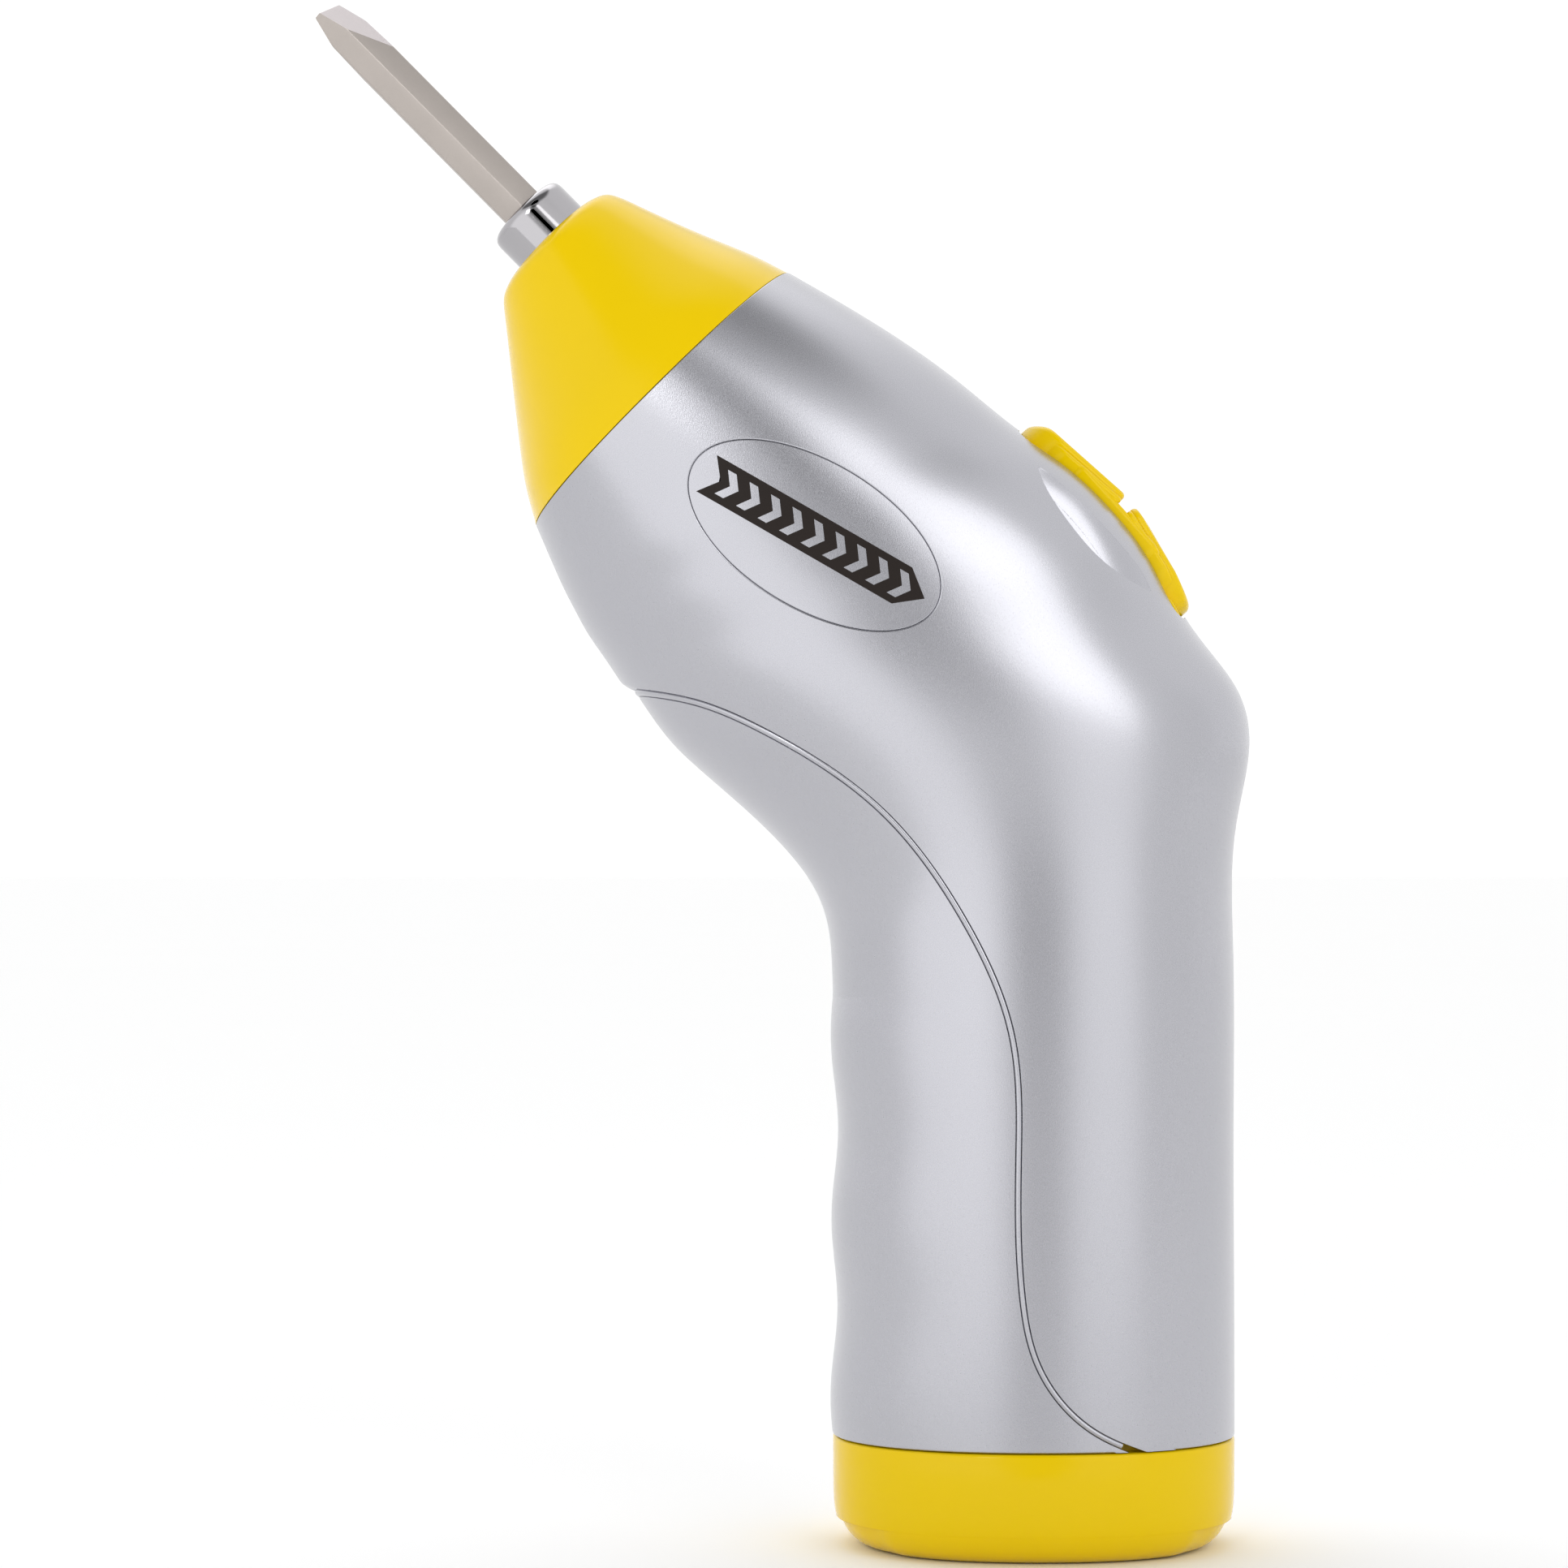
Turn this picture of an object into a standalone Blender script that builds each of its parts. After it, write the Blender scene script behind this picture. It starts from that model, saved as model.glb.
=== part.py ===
"""A child's battery power screwdriver, pistol shaped, standing on the cap of its handle.

Two silver half shells and a silver finger grip hold four AA cells, a motor and a two-stage
planetary gearbox. A yellow nose carries the spindle with its hexagon bit, a yellow rocker
on the back runs the motor either way, and the yellow cap at the foot closes the battery bay.

Lengths below are in millimetres and become metres where a mesh is made. +Z is up, the nose
points towards -X and up, and the halves part at y = 0. The origin is the middle of the foot.
"""

import math

import bmesh
import bpy
import numpy as np
from mathutils import Matrix, Vector

MM = 0.001
GAP = 0.3  # play between touching pieces
HALF_GAP = GAP / 2

# ---- outer skin -------------------------------------------------------------------------
WALL = 2.0
# Sections along the handle and head: front point (x, z), back point (x, z), half depth in y.
SECTIONS = [
    ((-23.15, 12.7), (23.1, 12.7), 20.0),
    ((-23.05, 31.0), (23.05, 31.0), 20.0),
    ((-23.0, 50.0), (23.0, 50.0), 20.0),
    ((-23.3, 66.0), (22.95, 68.5), 20.0),
    ((-25.6, 75.9), (23.2, 82.0), 20.1),
    ((-32.6, 83.9), (24.8, 91.2), 20.5),
    ((-40.5, 90.9), (23.3, 98.6), 21.0),
    ((-46.9, 98.2), (17.0, 107.4), 21.4),
    ((-49.1, 101.5), (13.9, 113.4), 21.5),  # the back swells round the rocker
    ((-51.3, 104.7), (9.6, 119.0), 21.6),
    ((-52.7, 107.2), (4.5, 123.8), 21.55),
    ((-53.8, 109.3), (-1.5, 128.0), 21.5),
    ((-54.7, 111.2), (-8.6, 133.7), 21.3),
    ((-57.3, 117.2), (-28.1, 146.2), 20.5),
]
SKIN_POWER = 2.25  # superellipse exponent of the sections
FOOT_HALF_LENGTH = 23.1
GROOVE_DEPTH = 0.37  # finger waves on the front of the handle
GROOVE_PITCH = 20.6
GROOVE_TOP = 58.1  # height of the uppermost ridge
RINGS_UP = 24
SIDES = 28

# Edge of the finger grip, seen from the side: (x, z) from the lip down to the cap.
GRIP_EDGE = [
    (-52.0, 99.3),
    (-45.5, 98.2),
    (-38.7, 96.8),
    (-30.5, 93.25),
    (-17.5, 84.3),
    (-8.5, 72.3),
    (-3.1, 59.3),
    (-2.35, 44.7),
    (-1.9, 30.0),
    (-0.3, 22.9),
    (5.8, 15.5),
    (13.5, 12.0),
]

# ---- oval badge on each side of the head, as (x, z) and half length, half height --------------
BADGE_CENTRE = (-25.4, 114.7)
BADGE_HALF = (15.6, 8.1)
BADGE_TILT = math.radians(-31)
BADGE_THICKNESS = 0.6

# ---- drive line: t runs along it towards the tip, from the joint of nose and body -----------
DRIVE_ORIGIN = (-39.8, 134.57)
DRIVE_DIRECTION = (-0.7034, 0.7108)
NOSE_CENTRE = -4.1  # the joint's centre, towards the underside
# Nose outline: t, half width, centre offset.
NOSE = [
    (0.15, 20.5, -4.1),
    (4.0, 18.75, -3.6),
    (8.0, 16.5, -2.95),
    (13.0, 13.55, -2.0),
    (18.0, 10.65, -0.95),
    (20.3, 9.3, -0.5),
    (21.4, 8.4, -0.35),
    (22.0, 7.1, -0.3),
]
COLLAR_RADIUS = 5.0
COLLAR_FRONT = 27.0
BIT_ACROSS_FLATS = 5.0
BIT_LENGTH = 50.0
BIT_TIP = 59.3
BLADE_THICKNESS = 0.8
BLADE_SLOPE = math.radians(16.0)

# ---- gearing --------------------------------------------------------------------------------
MODULE = 0.5
SUN_TEETH = 12
PLANET_TEETH = 18
RING_TEETH = 48
PRESSURE_ANGLE = math.radians(25.0)
TOOTH_THINNING = 0.05  # taken from each flank
PLANET_ORBIT = MODULE * (SUN_TEETH + PLANET_TEETH) / 2
PLANETS = 3
PLANET_PIN = 1.5
CARRIER_RADIUS = 10.4
HOUSING_RADIUS = 13.4

# ---- motor ----------------------------------------------------------------------------------
MOTOR_RADIUS = 12.1
MOTOR_FRONT = -18.9
MOTOR_BACK = -46.8

# ---- batteries ------------------------------------------------------------------------------
CELL_RADIUS = 7.1
CELL_LENGTH = 50.5
CELL_OFFSET = 7.4
CELL_BOTTOM = 7.0
NUB = 1.2
BULKHEAD_BOTTOM = 61.5
CONTACT_THICKNESS = 0.5
CONTACT_REACH = 4.0  # from a cell's axis to the edge of its contact
SPRING_RADIUS = 3.6
SPRING_WIRE = 0.35
WIRE_RADIUS = 0.7
# The cells, side by side: place in x and y, and whether the button faces up.
CELLS = [(-1, -1, True), (1, -1, False), (1, 1, True), (-1, 1, False)]

# ---- rocker: s runs down the back, w out of it ----------------------------------------------
ROCKER_CENTRE = (7.95, 117.45)
ROCKER_DOWN = (0.667, -0.745)
ROCKER_HALF_WIDTH = 7.0
ROCKER_PIVOT = -1.3  # height of the pin above the skin's chord
PIN_RADIUS = 1.0
PIN_HALF_LENGTH = 8.6
PIN_BORE_RADIUS = PIN_RADIUS + GAP
WELL_HALF_LENGTH = 14.7
WELL_HALF_WIDTH = 7.4
WELL_DEPTH = 4.2
# Outline of the button, as (distance up the back, height above the skin's chord).
ROCKER_TOP = [(14.0, 0.0), (13.6, 1.3), (12.2, 3.0), (1.0, 3.9), (0.4, 3.2)]
ROCKER_TOP += [(-1.6, 3.2), (-2.2, 3.9), (-13.2, 0.9), (-14.0, 0.0)]
ROCKER_UNDER = [(-13.2, -1.2), (-4.2, -1.8), (-2.6, -3.5), (2.6, -3.5)]
ROCKER_UNDER += [(4.2, -1.8), (13.2, -1.2)]

# ---- screws along y that close the shells: (x, z) -------------------------------------------
SHELL_SCREWS = [(-45.3, 113.3), (-10.4, 129.4), (17.2, 97.2), (18.3, 72.0), (18.3, 34.0)]
BOSS_RADIUS = 3.2
SCREW_SEAT = 5.5  # where a screw's head rests
SCREW_HEAD_RADIUS = 2.3
SCREW_SHANK_RADIUS = 1.4
SCREW_TIP = -8.0

# ---- battery cap and its captive screw: outline as (inset from the handle's section, z) -----
CAP_OUTSIDE = [(4.2, 0.0), (2.7, 0.4), (1.3, 1.5), (0.4, 3.2), (0.05, 5.6), (0.0, 12.4)]
CAP_FLOOR = 2.6
CAP_INSIDE = [(2.35, 12.4), (2.35, 15.8), (3.9, 15.8), (3.9, CAP_FLOOR)]
CAP_SCREW_X = 17.0
CAP_BOSS_RADIUS = 3.5

COLOURS = {
    "silver": ((0.55, 0.55, 0.58), 0.35, 0.75),
    "yellow": ((0.95, 0.72, 0.02), 0.25, 0.0),
    "chrome": ((0.75, 0.75, 0.77), 0.08, 1.0),
    "bit_steel": ((0.55, 0.50, 0.46), 0.38, 0.9),
    "steel": ((0.5, 0.5, 0.52), 0.3, 1.0),
    "dark_steel": ((0.22, 0.22, 0.24), 0.4, 0.9),
    "bronze": ((0.6, 0.4, 0.2), 0.4, 1.0),
    "copper": ((0.75, 0.35, 0.2), 0.35, 1.0),
    "white_plastic": ((0.8, 0.8, 0.77), 0.45, 0.0),
    "black_plastic": ((0.04, 0.04, 0.045), 0.45, 0.0),
    "magnet": ((0.12, 0.12, 0.13), 0.6, 0.2),
    "cell_jacket": ((0.1, 0.2, 0.45), 0.4, 0.1),
    "red_wire": ((0.6, 0.04, 0.03), 0.45, 0.0),
    "black_wire": ((0.03, 0.03, 0.03), 0.45, 0.0),
}


# ---- helpers --------------------------------------------------------------------------------
def clear_scene():
    for obj in list(bpy.data.objects):
        bpy.data.objects.remove(obj, do_unlink=True)


def new_collection(name, hidden=False):
    collection = bpy.data.collections.new(name)
    bpy.context.scene.collection.children.link(collection)
    collection.hide_render = hidden
    return collection


def material(name):
    found = bpy.data.materials.get(name)
    if found:
        return found
    colour, roughness, metallic = COLOURS[name]
    made = bpy.data.materials.new(name)
    made.use_nodes = True
    shader = made.node_tree.nodes["Principled BSDF"]
    shader.inputs["Base Color"].default_value = (*colour, 1.0)
    shader.inputs["Roughness"].default_value = roughness
    shader.inputs["Metallic"].default_value = metallic
    made.diffuse_color = (*colour, 1.0)
    return made


def link(obj, look):
    """Puts an object in the part's collection, or with no look in the cutters'."""
    for collection in list(obj.users_collection):
        collection.objects.unlink(obj)
    if look is None:
        CUTTERS.objects.link(obj)
        obj.hide_render = True
        obj.display_type = "WIRE"
        return obj
    PART.objects.link(obj)
    obj.data.materials.clear()
    obj.data.materials.append(material(look))
    if isinstance(obj.data, bpy.types.Mesh):
        obj.data.shade_smooth()
        obj.data.set_sharp_from_angle(angle=math.radians(35))
    return obj


def mesh_object(name, points, faces, look=None, matrix=None):
    """An object from points in millimetres."""
    mesh = bpy.data.meshes.new(name)
    mesh.from_pydata([Vector(p) * MM for p in points], [], faces)
    obj = bpy.data.objects.new(name, mesh)
    if matrix is not None:
        obj.matrix_world = matrix
    return link(obj, look)


def from_bmesh(name, made, look=None, matrix=None):
    bmesh.ops.scale(made, vec=(MM, MM, MM), verts=made.verts)
    mesh = bpy.data.meshes.new(name)
    made.to_mesh(mesh)
    made.free()
    obj = bpy.data.objects.new(name, mesh)
    if matrix is not None:
        obj.matrix_world = matrix
    return link(obj, look)


def add_box(made, low, high, matrix=None):
    """Adds a box between two corners to a bmesh, in millimetres."""
    low, high = Vector(low), Vector(high)
    cube = bmesh.ops.create_cube(made, size=1.0)["verts"]
    bmesh.ops.scale(made, vec=high - low, verts=cube)
    bmesh.ops.translate(made, vec=(high + low) / 2, verts=cube)
    if matrix is not None:
        bmesh.ops.transform(made, matrix=matrix, verts=cube)


def add_rod(made, start, end, radius, sides=20):
    """Adds a closed cylinder from one point to another to a bmesh, in millimetres."""
    start, end = Vector(start), Vector(end)
    along = end - start
    turn = along.to_track_quat("Z", "Y").to_matrix().to_4x4()
    place = Matrix.Translation((start + end) / 2) @ turn
    bmesh.ops.create_cone(
        made,
        cap_ends=True,
        segments=sides,
        radius1=radius,
        radius2=radius,
        depth=along.length,
        matrix=place,
    )


def box(name, low, high, look=None, matrix=None):
    made = bmesh.new()
    add_box(made, low, high)
    return from_bmesh(name, made, look, matrix)


def rod(name, start, end, radius, look=None, matrix=None, sides=20):
    made = bmesh.new()
    add_rod(made, start, end, radius, sides)
    return from_bmesh(name, made, look, matrix)


def turned(name, profile, look=None, matrix=None, steps=24, ring=False):
    """A profile of (radius, height), from the top down its outer side, turned about Z."""
    mesh = bpy.data.meshes.new(name)
    edges = [(i, i + 1) for i in range(len(profile) - 1)]
    if ring:
        edges.append((len(profile) - 1, 0))
    mesh.from_pydata([(r * MM, 0, z * MM) for r, z in profile], edges, [])
    obj = bpy.data.objects.new(name, mesh)
    if matrix is not None:
        obj.matrix_world = matrix
    screw = obj.modifiers.new("Turn", "SCREW")
    screw.steps = steps
    screw.render_steps = steps
    screw.use_merge_vertices = True
    screw.merge_threshold = 0.00001
    screw.use_smooth_shade = True
    return link(obj, look)


def flat(name, loops, low, high, look=None, matrix=None):
    """A flat outline with any holes, as loops of (x, y), made solid from low to high."""
    curve = bpy.data.curves.new(name, "CURVE")
    curve.dimensions = "2D"
    curve.fill_mode = "BOTH"
    curve.extrude = (high - low) / 2 * MM
    for loop in loops:
        spline = curve.splines.new("POLY")
        spline.points.add(len(loop) - 1)
        for point, (x, y) in zip(spline.points, loop):
            point.co = (x * MM, y * MM, 0, 1)
        spline.use_cyclic_u = True
    outline = bpy.data.objects.new(name + "_outline", curve)
    bpy.context.scene.collection.objects.link(outline)
    bpy.context.view_layer.update()
    graph = bpy.context.evaluated_depsgraph_get()
    mesh = bpy.data.meshes.new_from_object(outline.evaluated_get(graph))
    bpy.data.objects.remove(outline)
    made = bmesh.new()
    made.from_mesh(mesh)
    bmesh.ops.translate(made, vec=(0, 0, (low + high) / 2 * MM), verts=made.verts)
    bmesh.ops.remove_doubles(made, verts=made.verts, dist=1e-6)
    made.to_mesh(mesh)
    made.free()
    mesh.name = name
    obj = bpy.data.objects.new(name, mesh)
    if matrix is not None:
        obj.matrix_world = matrix
    return link(obj, look)


def wire(name, points, radius, look, smooth=True):
    """A round wire through points in millimetres."""
    curve = bpy.data.curves.new(name, "CURVE")
    curve.dimensions = "3D"
    curve.bevel_depth = radius * MM
    curve.bevel_resolution = 1
    curve.use_fill_caps = True
    route = smooth_route(points) if smooth else points
    spline = curve.splines.new("POLY")
    spline.points.add(len(route) - 1)
    for point, place in zip(spline.points, route):
        point.co = (*(Vector(place) * MM), 1)
    return link(bpy.data.objects.new(name, curve), look)


def smooth_route(points, steps=4):
    """Points along one smooth curve through the route's own points."""
    ends = natural_spline(points)
    count = steps * (len(points) - 1) + 1
    return [tuple(ends(i / (count - 1))) for i in range(count)]


def boolean(obj, operation, other):
    cut = obj.modifiers.new(operation.title(), "BOOLEAN")
    cut.operation = operation
    cut.object = other
    cut.solver = "EXACT"


def circle(radius, sides, centre=(0.0, 0.0)):
    turn = 2 * math.pi / sides
    return [
        (centre[0] + radius * math.cos(i * turn), centre[1] + radius * math.sin(i * turn))
        for i in range(sides)
    ]


def hexagon(across_flats, first_corner=-math.pi / 2):
    radius = across_flats / math.sqrt(3)
    corners = [first_corner + i * math.pi / 3 for i in range(6)]
    return [(radius * math.cos(a), radius * math.sin(a)) for a in corners]


def natural_spline(points):
    """A function of 0..1 that runs through the points on a natural cubic spline."""
    values = np.array(points, float)
    steps = np.linalg.norm(np.diff(values, axis=0), axis=1)
    knots = np.concatenate([[0], np.cumsum(steps)]) / steps.sum()
    return natural_spline_at(knots, values)


def natural_spline_at(knots, values):
    """The same, with the place of each point along 0..1 given."""
    gaps = np.diff(knots)
    count = len(knots)
    system = np.eye(count)
    right = np.zeros_like(values)
    for i in range(1, count - 1):
        system[i, i - 1 : i + 2] = gaps[i - 1], 2 * (gaps[i - 1] + gaps[i]), gaps[i]
        slopes = np.diff(values[i - 1 : i + 2], axis=0) / gaps[i - 1 : i + 1, None]
        right[i] = 3 * (slopes[1] - slopes[0])
    bend = np.linalg.solve(system, right)

    def at(u):
        i = int(np.clip(np.searchsorted(knots, u, side="right") - 1, 0, count - 2))
        gap, x = gaps[i], u - knots[i]
        slope = (values[i + 1] - values[i]) / gap - gap * (2 * bend[i] + bend[i + 1]) / 3
        return values[i] + x * (slope + x * (bend[i] + x * (bend[i + 1] - bend[i]) / 3 / gap))

    return at


# ---- frames ---------------------------------------------------------------------------------
def drive_frame():
    """Local z along the drive line, local x up across it, local y the world's."""
    dx, dz = DRIVE_DIRECTION
    turn = Matrix(((dz, 0, dx), (0, 1, 0), (-dx, 0, dz)))
    place = Vector((DRIVE_ORIGIN[0], 0, DRIVE_ORIGIN[1])) * MM
    return Matrix.Translation(place) @ turn.to_4x4()


def rocker_frame():
    """Local x out of the back, local y the world's, local z up the back."""
    sx, sz = ROCKER_DOWN
    turn = Matrix(((-sz, 0, -sx), (0, 1, 0), (sx, 0, -sz)))
    place = Vector((ROCKER_CENTRE[0], 0, ROCKER_CENTRE[1])) * MM
    return Matrix.Translation(place) @ turn.to_4x4()


def in_millimetres(matrix):
    """The same frame for shapes that are still in millimetres."""
    return Matrix.Translation(matrix.to_translation() / MM) @ matrix.to_3x3().to_4x4()


# Turns the (x, y) of a flat outline into (x, z), its thickness along y.
SIDEWAYS = Matrix.Rotation(math.radians(90), 4, "X")
# Turns a turned shape's axis from z to y.
ALONG_Y = Matrix.Rotation(math.radians(-90), 4, "X")


# ---- skin -----------------------------------------------------------------------------------
def skin_sections():
    rows = np.array([(*front, *back, depth) for front, back, depth in SECTIONS])
    middle = (rows[:, :2] + rows[:, 2:4]) / 2
    steps = np.linalg.norm(np.diff(middle, axis=0), axis=1)
    knots = np.concatenate([[0], np.cumsum(steps)]) / steps.sum()
    return natural_spline_at(knots, rows)


SKIN = skin_sections()


def skin_point(u, angle, inset):
    """A point of the skin: u from the foot to the nose, angle from the back round by +y."""
    fx, fz, bx, bz, depth = SKIN(u)
    half = math.hypot(bx - fx, bz - fz) / 2
    ex, ez = (bx - fx) / 2 / half, (bz - fz) / 2 / half
    c, s = math.cos(angle), math.sin(angle)
    across = math.copysign(abs(c) ** (2 / SKIN_POWER), c) * (half - inset)
    y = math.copysign(abs(s) ** (2 / SKIN_POWER), s) * (depth - inset)
    x = (fx + bx) / 2 + ex * across
    z = (fz + bz) / 2 + ez * across
    if c < 0 and z < GROOVE_TOP + GROOVE_PITCH / 4:
        wave = math.cos(2 * math.pi * (z - GROOVE_TOP) / GROOVE_PITCH)
        x -= GROOVE_DEPTH * wave * c * c
    return x, y, z


def skin_ring(u, inset, sides=SIDES):
    return [skin_point(u, 2 * math.pi * i / sides, inset) for i in range(sides)]


def half_arc(u, inset, side):
    """Half a ring on one side of the parting plane, from the back to the front."""
    count = SIDES // 2
    arc = [skin_point(u, side * math.pi * i / count, inset) for i in range(count + 1)]
    return [(x, side * max(abs(y), HALF_GAP), z) for x, y, z in arc]


def bridge(rings, loop):
    """Faces between rings of equal length, with the first and last ring left open."""
    count = len(rings[0])
    faces = []
    for k in range(len(rings) - 1):
        for i in range(count if loop else count - 1):
            a, b = k * count + i, k * count + (i + 1) % count
            faces.append((a, b, b + count, a + count))
    return faces


def loft(name, rings, look=None, matrix=None, flip=False):
    """A solid through closed rings, closed by a flat face at each end."""
    count = len(rings[0])
    points = [p for ring in rings for p in ring]
    faces = bridge(rings, True)
    faces.append(tuple(reversed(range(count))))
    faces.append(tuple(range(len(points) - count, len(points))))
    if flip:
        faces = [tuple(reversed(face)) for face in faces]
    return mesh_object(name, points, faces, look, matrix)


def closed_loft(name, rings, look=None, matrix=None):
    """A solid whose last ring joins its first, with a hole right through."""
    points = [p for ring in rings for p in ring]
    faces = bridge(rings + [rings[0]], True)
    faces = [tuple(i % len(points) for i in face) for face in faces]
    return mesh_object(name, points, faces, look, matrix)


def half_skin(name, inset, depth, side, look=None):
    """Half of the skin's wall, from one inset to a deeper one, as a closed solid."""
    steps = [i / RINGS_UP for i in range(RINGS_UP + 1)]
    outer = [half_arc(u, inset, side) for u in steps]
    inner = [half_arc(u, inset + depth, side) for u in steps]
    rings = [a + b[::-1] for a, b in zip(outer, inner)]
    return loft(name, rings, look, flip=side < 0)


def half_core(name, inset, side):
    """Everything on one side that is deeper than an inset, as a closed solid."""
    steps = [i / RINGS_UP for i in range(RINGS_UP + 1)]
    rings = [half_arc(u, inset, side) for u in steps]
    return loft(name, rings, flip=side < 0)


def section_outline(inset):
    """The handle's section at its foot, as (x, y)."""
    half, depth = FOOT_HALF_LENGTH - inset, SECTIONS[0][2] - inset
    outline = []
    for i in range(SIDES):
        c, s = math.cos(2 * math.pi * i / SIDES), math.sin(2 * math.pi * i / SIDES)
        x = math.copysign(abs(c) ** (2 / SKIN_POWER), c) * half
        y = math.copysign(abs(s) ** (2 / SKIN_POWER), s) * depth
        outline.append((x, y))
    return outline


# ---- shells, grip, nose, cap ----------------------------------------------------------------
def grip_prism(name, growth):
    """The region of the finger grip seen from the side, right through in y."""
    edge = natural_spline(GRIP_EDGE)
    last = 24
    curve = [edge(i / last) for i in range(last + 1)]
    outline = []
    for i, point in enumerate(curve):
        ahead = curve[min(i + 1, last)] - curve[max(i - 1, 0)]
        normal = np.array((-ahead[1], ahead[0])) / np.hypot(*ahead)
        outline.append(tuple(point + growth * normal))
    outline += [(14.0, 4.0), (-40.0, 4.0), (-60.0, 60.0)]
    return flat(name, [outline], -30, 30, matrix=SIDEWAYS)


def drive_keepout():
    """Room for gearbox and motor, with play all round."""
    play = 0.35
    housing, motor = HOUSING_RADIUS + play, MOTOR_RADIUS + play
    profile = [
        (0, 3.4),
        (housing, 3.4),
        (housing, MOTOR_FRONT - 0.2),
        (motor, MOTOR_FRONT - 0.2),
        (motor, -52),
        (0, -52),
    ]
    return turned("drive_room", profile, matrix=DRIVE)


def rocker_well():
    """The opening that the rocker sits in, right through the back wall."""
    low = (-WELL_DEPTH, -WELL_HALF_WIDTH, -WELL_HALF_LENGTH)
    high = (9.0, WELL_HALF_WIDTH, WELL_HALF_LENGTH)
    well = box("rocker_room", low, high, matrix=ROCKER)
    round_edges(well, 1.5)
    return well


def round_edges(obj, width, segments=2):
    bevel = obj.modifiers.new("Round", "BEVEL")
    bevel.width = width * MM
    bevel.segments = segments
    bevel.limit_method = "ANGLE"
    bevel.angle_limit = math.radians(40)


def cradles(side):
    """Ribs round gearbox and motor, and cheeks for the rocker's pin, not yet trimmed."""
    made = bmesh.new()
    low, high = sorted((side * HALF_GAP, side * 30))
    drive = in_millimetres(DRIVE)
    for t, reach in ((-11.5, 40), (-30.0, 40), (-45.2, 6)):
        add_box(made, (-40, low, t - 0.9), (reach, high, t + 0.9), drive)
    cheek = sorted((side * (WELL_HALF_WIDTH + 0.1), side * 10.5))
    add_box(made, (-3.7, cheek[0], -3.5), (3.4, cheek[1], 3.5), in_millimetres(ROCKER))
    return from_bmesh("cradles", made)


def bosses(side):
    """Screw bosses, and the block that holds the cap's nut, not yet trimmed."""
    made = bmesh.new()
    for x, z in SHELL_SCREWS:
        add_rod(made, (x, side * HALF_GAP, z), (x, side * 30, z), BOSS_RADIUS, sides=16)
    nut = sorted((side * HALF_GAP, side * 3.9))
    add_box(made, (CAP_SCREW_X - 3.2, nut[0], 16.4), (30, nut[1], 23.5))
    return from_bmesh("bosses", made)


def screw_bore(place, side):
    """The hole for a shell screw: blind on the left, with a deep head recess on the right."""
    x, z = place
    profile = [(0, 3), (1.7, 3), (1.7, -8.6), (0, -8.6)]
    if side > 0:
        profile = [(0, 40), (2.6, 40), (2.6, SCREW_SEAT), (1.7, SCREW_SEAT), (1.7, -3), (0, -3)]
    there = Matrix.Translation(Vector((x, 0, z)) * MM) @ ALONG_Y
    return turned("screw_bore", profile, matrix=there, steps=12)


def badge_slab(name, side, inset, depth, growth, look=None):
    """A thin oval plate that follows the skin beside the motor."""
    rows, columns = 6, 6
    near = side * math.pi / 2
    rings = []
    for i in range(rows + 1):
        u = 0.60 + 0.36 * i / rows
        angles = [near + (j / columns - 0.5) * 1.9 for j in range(columns + 1)]
        outer = [skin_point(u, a, inset) for a in angles]
        inner = [skin_point(u, a, inset + depth) for a in reversed(angles)]
        rings.append(outer + inner)
    plate = loft(name, rings, look)
    tilt = Matrix.Rotation(BADGE_TILT, 4, "Z")
    ends = [
        tilt @ Vector((x * (BADGE_HALF[0] + growth), y * (BADGE_HALF[1] + growth), 0))
        for x, y in circle(1.0, 28)
    ]
    oval = [(BADGE_CENTRE[0] + p.x, BADGE_CENTRE[1] + p.y) for p in ends]
    prism = flat(name + "_oval", [oval], *sorted((-side * 2, -side * 40)), matrix=SIDEWAYS)
    boolean(plate, "INTERSECT", prism)
    return plate


def make_shell(side):
    name = "body_shell_right" if side > 0 else "body_shell_left"
    shell = half_skin(name, 0, WALL, side, "silver")
    core = half_core(name + "_core", WALL - 0.7, side)
    for blocks in (cradles(side), bosses(side)):
        boolean(blocks, "INTERSECT", core)
        boolean(shell, "UNION", blocks)
    cutters = [
        grip_prism(name + "_grip_room", GAP / 2),
        drive_keepout(),
        rocker_well(),
        badge_slab(name + "_badge_room", side, -2.0, 2.0 + BADGE_THICKNESS + GAP, GAP),
        pin_rod("pin_bore", PIN_HALF_LENGTH + GAP, PIN_BORE_RADIUS),
        rod("cap_bore", (CAP_SCREW_X, 0, 10), (CAP_SCREW_X, 0, 22.4), 1.8),
        box("nut_room", (CAP_SCREW_X - 3, -3, 17.8), (CAP_SCREW_X + 3, 3, 20.8)),
    ]
    cutters += [screw_bore(place, side) for place in SHELL_SCREWS]
    for cutter in cutters:
        boolean(shell, "DIFFERENCE", cutter)


def make_grip():
    steps = [i / RINGS_UP for i in range(RINGS_UP + 1)]
    outer = [skin_ring(u, 0) for u in steps]
    inner = [skin_ring(u, WALL) for u in steps]
    grip = closed_loft("front_grip", outer + inner[::-1], "silver")
    boolean(grip, "INTERSECT", grip_prism("front_grip_region", -GAP / 2))


def nose_ring(t, half, centre, sides=SIDES):
    return [(centre + x, y, t) for x, y in circle(half, sides)]


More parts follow.
